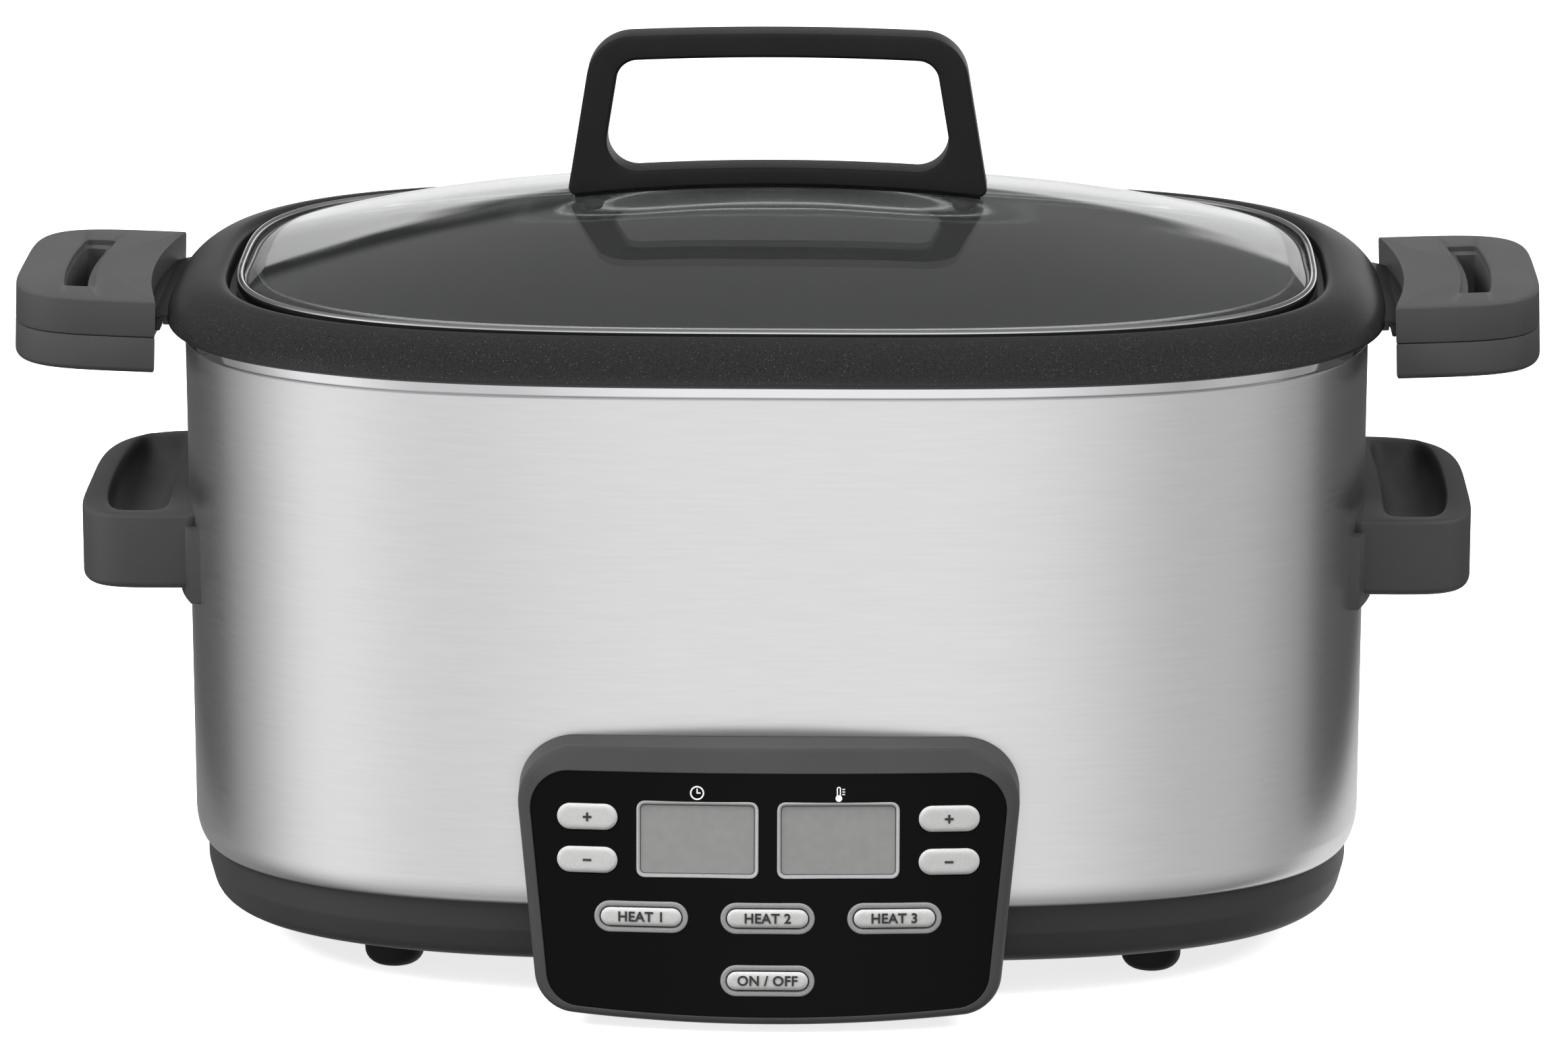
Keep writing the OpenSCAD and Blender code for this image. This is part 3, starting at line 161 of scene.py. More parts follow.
def ovalRing(inset, z):
    a, b = body["halfWidth"] - inset, body["halfDepth"] - inset
    return [(*ovalPoint(t, a, b, body["power"]), z) for t in ovalAngles]


def rounded(corners, closed=False, steps=5):
    # a profile whose corners (u, v, radius) are rounded
    out = []
    for i, (u, v, r) in enumerate(corners):
        if r <= 0 or (not closed and i in (0, len(corners) - 1)):
            out.append((u, v))
            continue
        p = Vector((u, v))
        toPrev = Vector(corners[i - 1][:2]) - p
        toNext = Vector(corners[(i + 1) % len(corners)][:2]) - p
        half = toPrev.angle(toNext) / 2
        reach = min(r / math.tan(half), 0.48 * toPrev.length, 0.48 * toNext.length)
        radius = reach * math.tan(half)
        centre = p + (toPrev.normalized() + toNext.normalized()).normalized() * (radius / math.sin(half))
        first = p + toPrev.normalized() * reach - centre
        last = p + toNext.normalized() * reach - centre
        a0 = math.atan2(first.y, first.x)
        sweep = (math.atan2(last.y, last.x) - a0 + math.pi) % (2 * math.pi) - math.pi
        for k in range(steps + 1):
            a = a0 + sweep * k / steps
            out.append((centre.x + radius * math.cos(a), centre.y + radius * math.sin(a)))
    return out


def curveThrough(points, steps=6):
    # a smooth curve through a run of points
    out = []
    for i in range(len(points) - 1):
        p0, p1, p2, p3 = (Vector(points[min(max(j, 0), len(points) - 1)]) for j in (i - 1, i, i + 1, i + 2))
        for k in range(steps):
            s = k / steps
            out.append(tuple(0.5 * (2 * p1 + (p2 - p0) * s + (2 * p0 - 5 * p1 + 4 * p2 - p3) * s * s
                                    + (3 * p1 - p0 - 3 * p2 + p3) * s ** 3)))
    return out + [tuple(points[-1])]


def arcPoints(centre, radius, a0, a1, steps):
    return [(centre[0] + radius * math.cos(math.radians(a0 + (a1 - a0) * k / steps)),
             centre[1] + radius * math.sin(math.radians(a0 + (a1 - a0) * k / steps))) for k in range(steps + 1)]


def between(p, q, steps):
    return [(p[0] + (q[0] - p[0]) * k / steps, p[1] + (q[1] - p[1]) * k / steps) for k in range(1, steps)]


def mirrored(points):
    return [(-x, y) for x, y in reversed(points)]


def stadium(width, height, steps=14):
    r = height / 2
    c = width / 2 - r
    return arcPoints((c, 0), r, -90, 90, steps) + arcPoints((-c, 0), r, 90, 270, steps)


def roundBox(width, height, r, steps=8):
    x, y = width / 2 - r, height / 2 - r
    return (arcPoints((x, -y), r, -90, 0, steps) + arcPoints((x, y), r, 0, 90, steps)
            + arcPoints((-x, y), r, 90, 180, steps) + arcPoints((-x, -y), r, 180, 270, steps))


def rayOutline(outline, centre, count):
    # resamples an outline by direction from a centre, so that two outlines can be skinned together
    out = []
    for k in range(count):
        a = 2 * math.pi * k / count
        dx, dy = math.cos(a), math.sin(a)
        best = None
        for (x0, y0), (x1, y1) in zip(outline, outline[1:] + outline[:1]):
            ex, ey = x1 - x0, y1 - y0
            det = ex * dy - ey * dx
            if abs(det) < 1e-12:
                continue
            s = ((x0 - centre[0]) * dy - (y0 - centre[1]) * dx) / -det
            if -1e-9 <= s <= 1 + 1e-9:
                far = (x0 + ex * s - centre[0]) * dx + (y0 + ey * s - centre[1]) * dy
                if far > 0 and (best is None or far > best):
                    best = far
        out.append((centre[0] + best * dx, centre[1] + best * dy))
    return out


def cleanMesh(mesh, sharp):
    # merges doubles, turns the faces outwards and keeps edges over an angle sharp
    work = bmesh.new()
    work.from_mesh(mesh)
    bmesh.ops.remove_doubles(work, verts=work.verts, dist=1e-7)
    bmesh.ops.recalc_face_normals(work, faces=work.faces)
    work.to_mesh(mesh)
    work.free()
    smoothMesh(mesh, sharp)


def smoothMesh(mesh, sharp):
    mesh.shade_smooth()
    mesh.set_sharp_from_angle(angle=math.radians(sharp))


def meshPiece(name, points, faces, material, sharp=35):
    # a solid from points in mm in the body's frame
    mesh = bpy.data.meshes.new(name)
    mesh.from_pydata([(x * mm, (y + bodyShift) * mm, z * mm) for x, y, z in points], [], faces)
    cleanMesh(mesh, sharp)
    mesh.materials.append(material)
    return addObject(name, mesh)


def skin(rings, closed=False, start=None, end=None):
    # points and faces of a stack of rings; an open stack ends in poles or in flat faces
    count = len(rings[0])
    points = [p for ring in rings for p in ring]
    faces = []
    last = len(rings) if closed else len(rings) - 1
    for r in range(last):
        low, up = r * count, ((r + 1) % len(rings)) * count
        faces += [(low + i, low + (i + 1) % count, up + (i + 1) % count, up + i) for i in range(count)]
    if not closed:
        for pole, base in ((start, 0), (end, (len(rings) - 1) * count)):
            if pole is None:
                faces.append(tuple(base + i for i in range(count)))
            else:
                points.append(pole)
                faces += [(base + i, base + (i + 1) % count, len(points) - 1) for i in range(count)]
    return points, faces


def joined(*parts):
    points, faces = [], []
    for p, f in parts:
        faces += [tuple(i + len(points) for i in face) for face in f]
        points += p
    return points, faces


def finish(obj, bodyName, slot, *replaced):
    if replaced:
        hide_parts(*replaced)
    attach(obj, bodyName)
    return obj


def linear(hexColour):
    # an sRGB hex value as linear red, green, blue and alpha
    channels = [int(hexColour[i:i + 2], 16) / 255 for i in (1, 3, 5)]
    return [c / 12.92 if c <= 0.04045 else ((c + 0.055) / 1.055) ** 2.4 for c in channels] + [1]


def blankMaterial(name):
    material = bpy.data.materials.new(name)
    material.use_nodes = True
    material.node_tree.nodes.clear()
    return material, material.node_tree


def startMaterial(name, hexColour, roughness, **settings):
    material, tree = blankMaterial(name)
    shader = addNode(tree, "ShaderNodeBsdfPrincipled", None, Base_Color=linear(hexColour), Roughness=roughness,
                     **settings)
    addNode(tree, "ShaderNodeOutputMaterial", None, Surface=shader)
    return material, tree, shader


def inMillimetres(tree, stretch=(1, 1, 1)):
    place = addNode(tree, "ShaderNodeTexCoord")
    return addNode(tree, "ShaderNodeMapping", {"Scale": [1000 * s for s in stretch]}, Vector=place.outputs["Object"])


def tones(first, second, start=0.3):
    # two hex tones for a ramp, the same way in from both ends
    return [(start, linear(first)), (1 - start, linear(second))]


def brushedSteel():
    # 18/8 stainless sheet, brushed round the body: fine level scratches that draw the light out up and down
    material, tree, shader = startMaterial("brushedStainlessSheet", "#dadadb", 0.3, Metallic=1, Anisotropic=0.55)
    # scratches about 0.4 mm apart and 9 mm long, coarser than the real ones so that they show
    fine = addNode(tree, "ShaderNodeTexNoise", {"Scale": 1, "Detail": 4, "Roughness": 0.7},
                   Vector=inMillimetres(tree, (0.11, 0.11, 2.6)))
    coarse = addNode(tree, "ShaderNodeTexNoise", {"Scale": 1, "Detail": 2},
                     Vector=inMillimetres(tree, (0.05, 0.05, 0.9)))
    both = addNode(tree, "ShaderNodeMath", {"operation": "ADD"}, input0=fine, input1=coarse)
    half = addNode(tree, "ShaderNodeMath", {"operation": "MULTIPLY"}, input0=both, input1=0.5)
    feed(tree, shader,
         Base_Color=addNode(tree, "ShaderNodeValToRGB", {"stops": tones("#d7d7d8", "#dedede")}, Fac=half),
         Roughness=addNode(tree, "ShaderNodeMapRange",
                           {"From Min": 0.3, "From Max": 0.7, "To Min": 0.29, "To Max": 0.34}, Value=fine),
         Normal=addNode(tree, "ShaderNodeBump", {"Distance": 0.002 * mm}, Height=fine),
         Tangent=addNode(tree, "ShaderNodeTangent", {"direction_type": "RADIAL", "axis": "Z"}))
    return material


def polishedSteel():
    # rolled and polished stainless: nearly a mirror, with faint waves
    material, tree, shader = startMaterial("polishedStainless", "#d6d6d8", 0.09, Metallic=1)
    wave = addNode(tree, "ShaderNodeTexNoise", {"Scale": 0.12, "Detail": 1}, Vector=inMillimetres(tree))
    feed(tree, shader,
         Roughness=addNode(tree, "ShaderNodeMapRange",
                           {"From Min": 0.3, "From Max": 0.7, "To Min": 0.07, "To Max": 0.12}, Value=wave),
         Normal=addNode(tree, "ShaderNodeBump", {"Distance": 0.02 * mm}, Height=wave))
    return material


def texturedPlastic(name, hexColour, lighter, roughness, grain, depth, sheen):
    # injection-moulded ABS or nylon with a spark-eroded grain: a soft sheen broken by fine pits
    material, tree, shader = startMaterial(name, hexColour, roughness, Specular_IOR_Level=sheen)
    place = inMillimetres(tree)
    pits = addNode(tree, "ShaderNodeTexNoise", {"Scale": 1 / grain, "Detail": 3, "Roughness": 0.6}, Vector=place)
    cloud = addNode(tree, "ShaderNodeTexNoise", {"Scale": 0.05, "Detail": 2}, Vector=place)
    share = addNode(tree, "ShaderNodeMath", {"operation": "MULTIPLY"}, input0=pits, input1=0.65)
    level = addNode(tree, "ShaderNodeMath", {"operation": "MULTIPLY_ADD"}, input0=cloud, input1=0.35, input2=share)
    feed(tree, shader,
         Base_Color=addNode(tree, "ShaderNodeValToRGB", {"stops": tones(hexColour, lighter)}, Fac=level),
         Roughness=addNode(tree, "ShaderNodeMapRange", {"From Min": 0.3, "From Max": 0.7, "To Min": roughness - 0.06,
                                                        "To Max": roughness + 0.08}, Value=pits),
         Normal=addNode(tree, "ShaderNodeBump", {"Distance": depth * mm}, Height=pits))
    return material


def potCoating():
    # ceramic-filled non-stick coat on cast aluminium: near black, satin, with fine bright mineral specks
    material, tree, shader = startMaterial("speckledPotCoating", "#1b1b1c", 0.38, Specular_IOR_Level=0.42)
    place = inMillimetres(tree)
    grit = addNode(tree, "ShaderNodeTexNoise", {"Scale": 1.9, "Detail": 3, "Roughness": 0.65}, Vector=place)
    dark = addNode(tree, "ShaderNodeValToRGB", {"stops": tones("#0c0c0d", "#1e1e1f", 0.34)}, Fac=grit)
    speck = addNode(tree, "ShaderNodeTexVoronoi", {"Scale": 1.15}, Vector=place)
    spots = addNode(tree, "ShaderNodeMapRange", {"From Min": 0.1, "From Max": 0.22, "To Min": 1, "To Max": 0},
                    Value=speck.outputs["Distance"])
    some = addNode(tree, "ShaderNodeSeparateColor", None, Color=speck.outputs["Color"])
    chosen = addNode(tree, "ShaderNodeMath", {"operation": "GREATER_THAN"}, input0=some, input1=0.72)
    shown = addNode(tree, "ShaderNodeMath", {"operation": "MULTIPLY"}, input0=spots, input1=chosen)
    mix = addNode(tree, "ShaderNodeMix", {"data_type": "RGBA"}, input0=shown, input6=dark, input7=linear("#4a4a4b"))
    feed(tree, shader, Base_Color=mix.outputs[2],
         Normal=addNode(tree, "ShaderNodeBump", {"Distance": 0.02 * mm}, Height=grit))
    return material


def clearGlass():
    # tempered soda-lime glass: clear with a trace of grey and a thin veil of haze, mirror-smooth, faintly wavy
    material, tree, shader = startMaterial("clearTemperedGlass", "#e3e5e5", 0.015, IOR=1.5, Transmission_Weight=0.988)
    wave = addNode(tree, "ShaderNodeTexNoise", {"Scale": 0.02, "Detail": 1}, Vector=inMillimetres(tree))
    feed(tree, shader, Normal=addNode(tree, "ShaderNodeBump", {"Distance": 0.05 * mm}, Height=wave))
    return material


def plainFinish(name, hexColour, darker, roughness, grain, depth, **settings):
    # a finish with only a fine grain, for small or hidden pieces
    material, tree, shader = startMaterial(name, hexColour, roughness, **settings)
    grit = addNode(tree, "ShaderNodeTexNoise", {"Scale": 1 / grain, "Detail": 2}, Vector=inMillimetres(tree))
    feed(tree, shader,
         Base_Color=addNode(tree, "ShaderNodeValToRGB", {"stops": tones(darker, hexColour)}, Fac=grit),
         Normal=addNode(tree, "ShaderNodeBump", {"Distance": depth * mm}, Height=grit))
    return material


finishes = {
    "brushedSteel": brushedSteel(),
    "polishedSteel": polishedSteel(),
    "potCoating": potCoating(),
    "clearGlass": clearGlass(),
    # moulded ABS with a fine grain: dark grey and nearly matt
    "greyAbs": texturedPlastic("grainedGreyAbs", "#353536", "#3f3f40", 0.5, 0.45, 0.03, 0.4),
    # the base's copy is darker than the grips' one: painted shade, as the low base lies in shade
    "baseAbsPaintedShade": texturedPlastic("grainedAbsPaintedShadeBase", "#2b2b2c", "#343435", 0.52, 0.45, 0.03, 0.35),
    # the bezel's copy is a little darker: painted shade for its front face
    "bezelAbsPaintedShade": texturedPlastic("grainedAbsPaintedShadeBezel", "#323232", "#3c3c3d", 0.5, 0.4, 0.02, 0.4),
    # glass-filled nylon: black with a low sheen
    "blackNylon": texturedPlastic("blackNylon", "#121212", "#1a1a1a", 0.42, 0.4, 0.02, 0.16),
    # screen-printed acrylic: black and smooth
    "facePlate": plainFinish("blackAcrylicPlate", "#060606", "#040404", 0.32, 0.5, 0.002, Specular_IOR_Level=0.08),
    # an unpowered liquid crystal cell behind its film: plain mid grey
    "display": plainFinish("unlitDisplay", "#838482", "#7e7f7d", 0.35, 3, 0.002),
    # ABS under metallic paint: a soft silver glint
    "silverPaint": plainFinish("silverPaintedAbs", "#b9b9ba", "#acacad", 0.32, 0.5, 0.004, Metallic=0.55),
    # ABS moulded in its colour, rings and keys: light grey with a dull gloss
    "ringGrey": plainFinish("greyRingAbs", "#8b8b8b", "#808080", 0.45, 0.5, 0.004),
    "keyGrey": plainFinish("lightKeyAbs", "#b7b7b6", "#adadac", 0.42, 0.6, 0.004),
    # pad-printed ink: flat and even
    "darkInk": plainFinish("darkPrintInk", "#232323", "#1d1d1d", 0.5, 0.3, 0.001),
    "whiteInk": plainFinish("whitePrintInk", "#f2f2f2", "#e6e6e6", 0.5, 0.3, 0.001),
    # moulded rubber: black and dull
    "rubber": plainFinish("mouldedRubber", "#090909", "#060606", 0.62, 0.5, 0.02, Specular_IOR_Level=0.2),
    # pressed sheet and cast plate: bright and soft, and greyer with a sandy skin
    "aluminium": plainFinish("pressedAluminium", "#b4b4b6", "#a6a6a8", 0.38, 0.8, 0.006, Metallic=1),
    "castAluminium": plainFinish("castAluminium", "#a2a2a4", "#8f8f91", 0.45, 0.7, 0.03, Metallic=1),
    # zinc-plated steel: bright screws, washers and spring wire
    "screwSteel": plainFinish("zincPlatedSteel", "#b9babc", "#a7a8aa", 0.3, 0.6, 0.004, Metallic=1),
    # the heating element's steel tube, oxidised by heat: brown-grey and dull
    "sheath": plainFinish("oxidisedSheath", "#4a4642", "#37332f", 0.55, 1.2, 0.01, Metallic=0.8),
    # lacquer on a glass-fibre board: green with a low gloss
    "board": plainFinish("greenBoardLacquer", "#1f5b39", "#194c30", 0.4, 2, 0.002),
    # glazed ceramic: cream with a soft shine
    "ceramic": plainFinish("glazedCeramic", "#d9d3c6", "#cbc5b7", 0.35, 1.5, 0.004),
}
print("finishes made")


# geometry nodes sweep a cross-section round the body's oval
def sweepTree():
    tree = bpy.data.node_groups.new("sweepRoundOval", "GeometryNodeTree")
    face = tree.interface
    face.new_socket("Profile", in_out="INPUT", socket_type="NodeSocketGeometry")
    for name, value in (("Half Width", 0.19), ("Half Depth", 0.128), ("Power", 3.2), ("Height", 0.2)):
        face.new_socket(name, in_out="INPUT", socket_type="NodeSocketFloat").default_value = value
    face.new_socket("Sides", in_out="INPUT", socket_type="NodeSocketInt").default_value = 320
    face.new_socket("Shift", in_out="INPUT", socket_type="NodeSocketFloat").default_value = bodyShift * mm
    face.new_socket("Finish", in_out="INPUT", socket_type="NodeSocketMaterial")
    face.new_socket("Ring", in_out="OUTPUT", socket_type="NodeSocketGeometry")
    start = addNode(tree, "NodeGroupInput").outputs
    circle = addNode(tree, "GeometryNodeCurvePrimitiveCircle", {"Resolution": 4096})
    turn = addNode(tree, "ShaderNodeMath", {"operation": "MULTIPLY"}, input1=2 * math.pi,
                   input0=addNode(tree, "GeometryNodeSplineParameter").outputs["Factor"])
    exponent = addNode(tree, "ShaderNodeMath", {"operation": "DIVIDE"}, input0=2.0, input1=start["Power"])
    sides = []
    for wave, size in (("COSINE", "Half Width"), ("SINE", "Half Depth")):
        # the wave raised to the power with its sign kept, times the half size
        value = addNode(tree, "ShaderNodeMath", {"operation": wave}, input0=turn)
        plain = addNode(tree, "ShaderNodeMath", {"operation": "ABSOLUTE"}, input0=value)
        power = addNode(tree, "ShaderNodeMath", {"operation": "POWER"}, input0=plain, input1=exponent)
        sign = addNode(tree, "ShaderNodeMath", {"operation": "SIGN"}, input0=value)
        signed = addNode(tree, "ShaderNodeMath", {"operation": "MULTIPLY"}, input0=power, input1=sign)
        sides.append(addNode(tree, "ShaderNodeMath", {"operation": "MULTIPLY"}, input0=signed, input1=start[size]))
    deeper = addNode(tree, "ShaderNodeMath", {"operation": "ADD"}, input0=sides[1], input1=start["Shift"])
    spot = addNode(tree, "ShaderNodeCombineXYZ", None, X=sides[0], Y=deeper, Z=start["Height"])
    oval = addNode(tree, "GeometryNodeSetPosition", None, Geometry=circle, Position=spot)
    even = addNode(tree, "GeometryNodeResampleCurve", None, Curve=oval, Count=start["Sides"])
    level = addNode(tree, "GeometryNodeSetCurveNormal", {"mode": "Z_UP"}, Curve=even)
    section = addNode(tree, "GeometryNodeMeshToCurve", None, Mesh=start["Profile"])
    swept = addNode(tree, "GeometryNodeCurveToMesh", None, Curve=level, Profile_Curve=section)
    real = addNode(tree, "GeometryNodeRealizeInstances", None, Geometry=swept)
    dressed = addNode(tree, "GeometryNodeSetMaterial", None, Geometry=real, Material=start["Finish"])
    addNode(tree, "NodeGroupOutput", None, Ring=dressed)
    return tree


def plainMesh(obj, name):
    # replaces an object's modifiers by their result
    bpy.context.view_layer.update()
    mesh = bpy.data.meshes.new_from_object(obj.evaluated_get(bpy.context.evaluated_depsgraph_get()))
    obj.modifiers.clear()
    obj.data = mesh
    mesh.name = name
    return obj


def setInputs(modifier, values):
    for item in modifier.node_group.interface.items_tree:
        if item.item_type == "SOCKET" and item.in_out == "INPUT" and item.name in values:
            modifier[item.identifier] = values[item.name]


roundOval = sweepTree()


def sweptRing(name, profile, inset, height, material):
    # a closed cross-section (outward, up) in mm, swept round the body's oval
    edge = bpy.data.meshes.new(name)
    count = len(profile)
    edge.from_pydata([(u * mm, -v * mm, 0) for u, v in profile], [(i, (i + 1) % count) for i in range(count)], [])
    obj = addObject(name, edge)
    modifier = obj.modifiers.new("sweep", "NODES")
    modifier.node_group = roundOval
    setInputs(modifier, {"Half Width": (body["halfWidth"] - inset) * mm,
                         "Half Depth": (body["halfDepth"] - inset) * mm, "Power": body["power"],
                         "Height": height * mm, "Sides": body["sides"], "Finish": material})
    plainMesh(obj, name)
    cleanMesh(obj.data, 40)
    return obj


def wrapInset(z):
    t = min(1, max(0, (body["bottom"] + body["turnHeight"] - z) / body["turnHeight"]))
    return (body["taper"] * (body["top"] - z) / (body["top"] - body["bottom"])
            + body["turnIn"] * (1 - math.sqrt(1 - t * t * 0.94)))


def makeWrap():
    low, top = body["bottom"], body["top"] - body["seam"]
    heights = [low + body["turnHeight"] * i / 16 for i in range(17)] + [70, 100, 130, 160, top - 1]
    outer = [(wrapInset(z), z) for z in heights] + [(wrapInset(top) + 0.3, top)]
    inner = [(i + body["wall"] * 0.9, z) for i, z in reversed(outer)]
    points, faces = skin([ovalRing(i, z) for i, z in outer + inner], closed=True)
    wrap = meshPiece("steelWrap", points, faces, finishes["brushedSteel"])
    finish(wrap, "housing", "brushed_steel", "housing_shell")


trim = {"proud": 1.2, "height": 4.3, "round": 1.9, "crownIn": 0.8, "skirtDrop": 2.1, "skirtOut": 1.1, "skirtIn": 2,
        "flangeOut": 3, "flangeIn": 16, "flangeTop": 3.04, "flangeLow": 1.44}


def makeTrim():
    # a skirt inside the wrap, the bead over its edge, and a flange inwards over the liner's lip
    t = trim
    profile = rounded([(-t["skirtIn"], -t["skirtDrop"], 0.2), (-t["skirtOut"], -t["skirtDrop"], 0.2),
                       (-t["skirtOut"], 0, 0.1), (t["proud"], 0, t["round"]), (t["proud"], t["height"], t["round"]),
                       (-t["crownIn"], t["height"], 0.6), (-t["flangeOut"], t["flangeTop"], 0.4),
                       (-t["flangeIn"], t["flangeTop"], 0.3), (-t["flangeIn"], t["flangeLow"], 0.3),
                       (-t["skirtIn"], t["flangeLow"], 0.3)], closed=True, steps=7)
    ring = sweptRing("polishedTrim", profile, 0, body["top"], finishes["polishedSteel"])
    finish(ring, "housing", "polished_steel", "shell_trim_ring")


base = {"inset": 4.5, "under": 11.8, "wall": 2.5, "middle": 34, "kneeIn": 2.8, "kneeUp": 11, "kneeRound": 12,
        "wallRound": 6, "step": 34.5, "hook": 2.9, "hookFoot": 38, "hookTop": 40.5, "hookBack": 37.5,
        "coverA": 84, "coverB": 46, "coverThick": 1.6, "coverLip": 5,
        "screwX": 104, "screwY": 54, "recess": 3.8, "recessDepth": 2.6}


def makeBase():
    # a shallow pan whose wall steps in behind the wrap and hooks over its lower edge
    k = base
    b, under, wall = k["inset"], k["under"], k["wall"]
    outer = rounded([(k["middle"], under, 0), (b + k["kneeIn"], under, k["kneeRound"]),
                     (b, under + k["kneeUp"], k["wallRound"]), (b, k["step"], 0.5), (k["hook"], k["hookFoot"], 0.5),
                     (k["hook"], k["hookTop"], 0.4), (b + wall, k["hookBack"], 0.5),
                     (b + wall, under + k["kneeUp"], k["wallRound"]),
                     (b + wall + k["kneeIn"], under + wall, k["kneeRound"]), (k["middle"] + wall, under + wall, 0)],
                    steps=8)

    def around(inset, z):
        return [(*ovalPoint(t, k["coverA"] - inset, k["coverB"] - inset, body["power"]), z) for t in ovalAngles]

    lip, thick = k["coverLip"], k["coverThick"]
    opening = [around(lip, under + wall), around(lip, under + thick), around(0, under + thick), around(0, under)]
    points, faces = skin([ovalRing(i, z) for i, z in outer] + opening, closed=True)
    # the pan takes the darker copy of the grey ABS, which holds painted shade
    pan = meshPiece("moldedBase", points, faces, finishes["baseAbsPaintedShade"])
    for x, y in ((-1, -1), (-1, 1), (1, -1), (1, 1)):
        # a recess for each screw
        loop = [(x * k["screwX"] + k["recess"] * math.cos(n * math.pi / 16),
                 y * k["screwY"] + k["recess"] * math.sin(n * math.pi / 16)) for n in range(32)]
        ends = [[(u, v, z) for u, v in loop] for z in (under - 1, under + k["recessDepth"])]
        cutter = meshPiece("cutter", *skin(ends), finishes["baseAbsPaintedShade"])
        modifier = pan.modifiers.new("recess", "BOOLEAN")
        modifier.object, modifier.solver, modifier.operation = cutter, "EXACT", "DIFFERENCE"
        plainMesh(pan, "moldedBase")
        bpy.data.objects.remove(cutter)
    smoothMesh(pan.data, 35)
    finish(pan, "housing", "grey_plastic", "base_pan")


liner = {"floor": 60, "thick": 1.2, "hole": 7.1, "middle": 70, "foot": (36, 8), "wallFoot": (21.5, 78, 16),
         "wallTop": (16.2, 195.4), "lipIn": 4, "lipLow": 196.7, "lipTop": 198.03}


def makeLiner():
    # pressed sheet: a floor with a hole for the sensor, a leaning wall and a lip under the trim's flange
    k, t = liner, liner["thick"]
    foot, footRound = k["foot"]
    low, lowZ, bend = k["wallFoot"]
    top, topZ = k["wallTop"]
    outer = rounded([(k["middle"], k["floor"], 0), (foot, k["floor"], footRound), (low, lowZ, bend), (top, topZ, 2),
                     (k["lipIn"], k["lipLow"], 0.3), (k["lipIn"], k["lipTop"], 0.3), (top + t, k["lipTop"], 2),
                     (low + t, lowZ, bend - 1), (foot + 1, k["floor"] + t, footRound),
                     (k["middle"], k["floor"] + t, 0)], steps=8)
    hole = [(math.cos(a) * k["hole"], math.sin(a) * k["hole"]) for a in ovalAngles]
    rings = [[(x, y, k["floor"]) for x, y in hole]] + [ovalRing(i, z) for i, z in outer]
    rings.append([(x, y, k["floor"] + t) for x, y in hole])
    finish(meshPiece("pressedLiner", *skin(rings, closed=True), finishes["aluminium"]), "housing", "aluminium",
           "inner_liner")


pot = {"under": 80, "floor": 4, "middle": 75, "wallInset": 21.4, "taper": 7, "wall": 3, "footRound": 13,
       "rimUnder": 201.2, "rimOver": 5.6, "rimTop": 213.8, "lipInset": 13.8, "lipZ": 210.6, "ledge": 208.6,
       "slope": [(-3.9, 205.8), (-1.2, 208.6), (2.7, 211.3), (7.0, 213.1)], "earHalf": 44, "earLength": 21}
grip = {"x": 197, "z": 197.8, "tilt": 2, "reach": 47.8, "half": 52.5, "power": 4.6, "hollow": 5.2, "up": 12.2,
        "down": 11.7, "topRound": 1.2, "lowRound": 2, "slotX": 29.2, "slotHalf": 33, "slotWidth": 7,
        "shoulder": 2.3, "sides": 240}


def makePot():
    p = pot
    edge, floorTop = -p["rimOver"], p["under"] + p["floor"]
    inner = p["wallInset"] + p["wall"]
    outerFoot, innerFoot = p["wallInset"] + p["taper"] + 0.4, inner + p["taper"] + 0.4
    under = rounded([(p["middle"], p["under"], 0), (outerFoot, p["under"], p["footRound"]),
                     (p["wallInset"], p["rimUnder"], 1.5), (edge + 1, p["rimUnder"], 0.5),
                     (edge, p["rimUnder"] + 0.7, 0)], steps=8)
    slope = curveThrough([(edge, p["rimUnder"] + 0.7), (edge + 0.15, p["rimUnder"] + 2.1), *p["slope"],
                          (10.4, p["rimTop"]), (12.5, p["rimTop"] - 0.5), (13.5, p["rimTop"] - 1.7),
                          (p["lipInset"], p["lipZ"])])
    inside = rounded([(p["lipInset"], p["lipZ"], 0), (p["lipInset"] + 0.3, p["ledge"], 0.7),
                      (inner, p["ledge"] - 0.4, 1.2), (innerFoot, floorTop, p["footRound"] + 1),
                      (p["middle"], floorTop, 0)], steps=8)
    rings = [ovalRing(i, z) for i, z in under + slope[1:] + inside[1:]]
    parts = [skin(rings, start=(0, 0, p["under"]), end=(0, 0, floorTop))]
    half, reach = p["earHalf"], p["earLength"]
    ear = rounded([(-9, 3.5, 0.2), (-1.2, 3.5, 0.6), (-0.6, 0.2, 0.6), (reach, 0.2, 0.2), (reach, 4.5, 0.2),
                   (2, 4.5, 0.5), (-2, 5.7, 0.5), (-9, 6.5, 0.2)], closed=True, steps=4)
    rows = [(-half, 1.2), (-half + 0.35, 0.35), (-half + 1.2, 0), (half - 1.2, 0), (half - 0.35, 0.35), (half, 1.2)]
    for side in (-1, 1):
        parts.append(skin([[fromGrip(side, u, y, v + (pull if v < 3.5 else -pull) * 0.8) for u, v in ear]
                           for y, pull in rows]))
    piece = meshPiece("coatedPot", *joined(*parts), finishes["potCoating"], sharp=40)
    finish(piece, "pot", "pot_coating", "cooking_pot")


def fromGrip(side, x, y, z):
    # a point of a grip's own frame, in the body's frame
    a = math.radians(grip["tilt"])
    return (side * (grip["x"] + x * math.cos(a) - z * math.sin(a)), y, grip["z"] + x * math.sin(a) + z * math.cos(a))


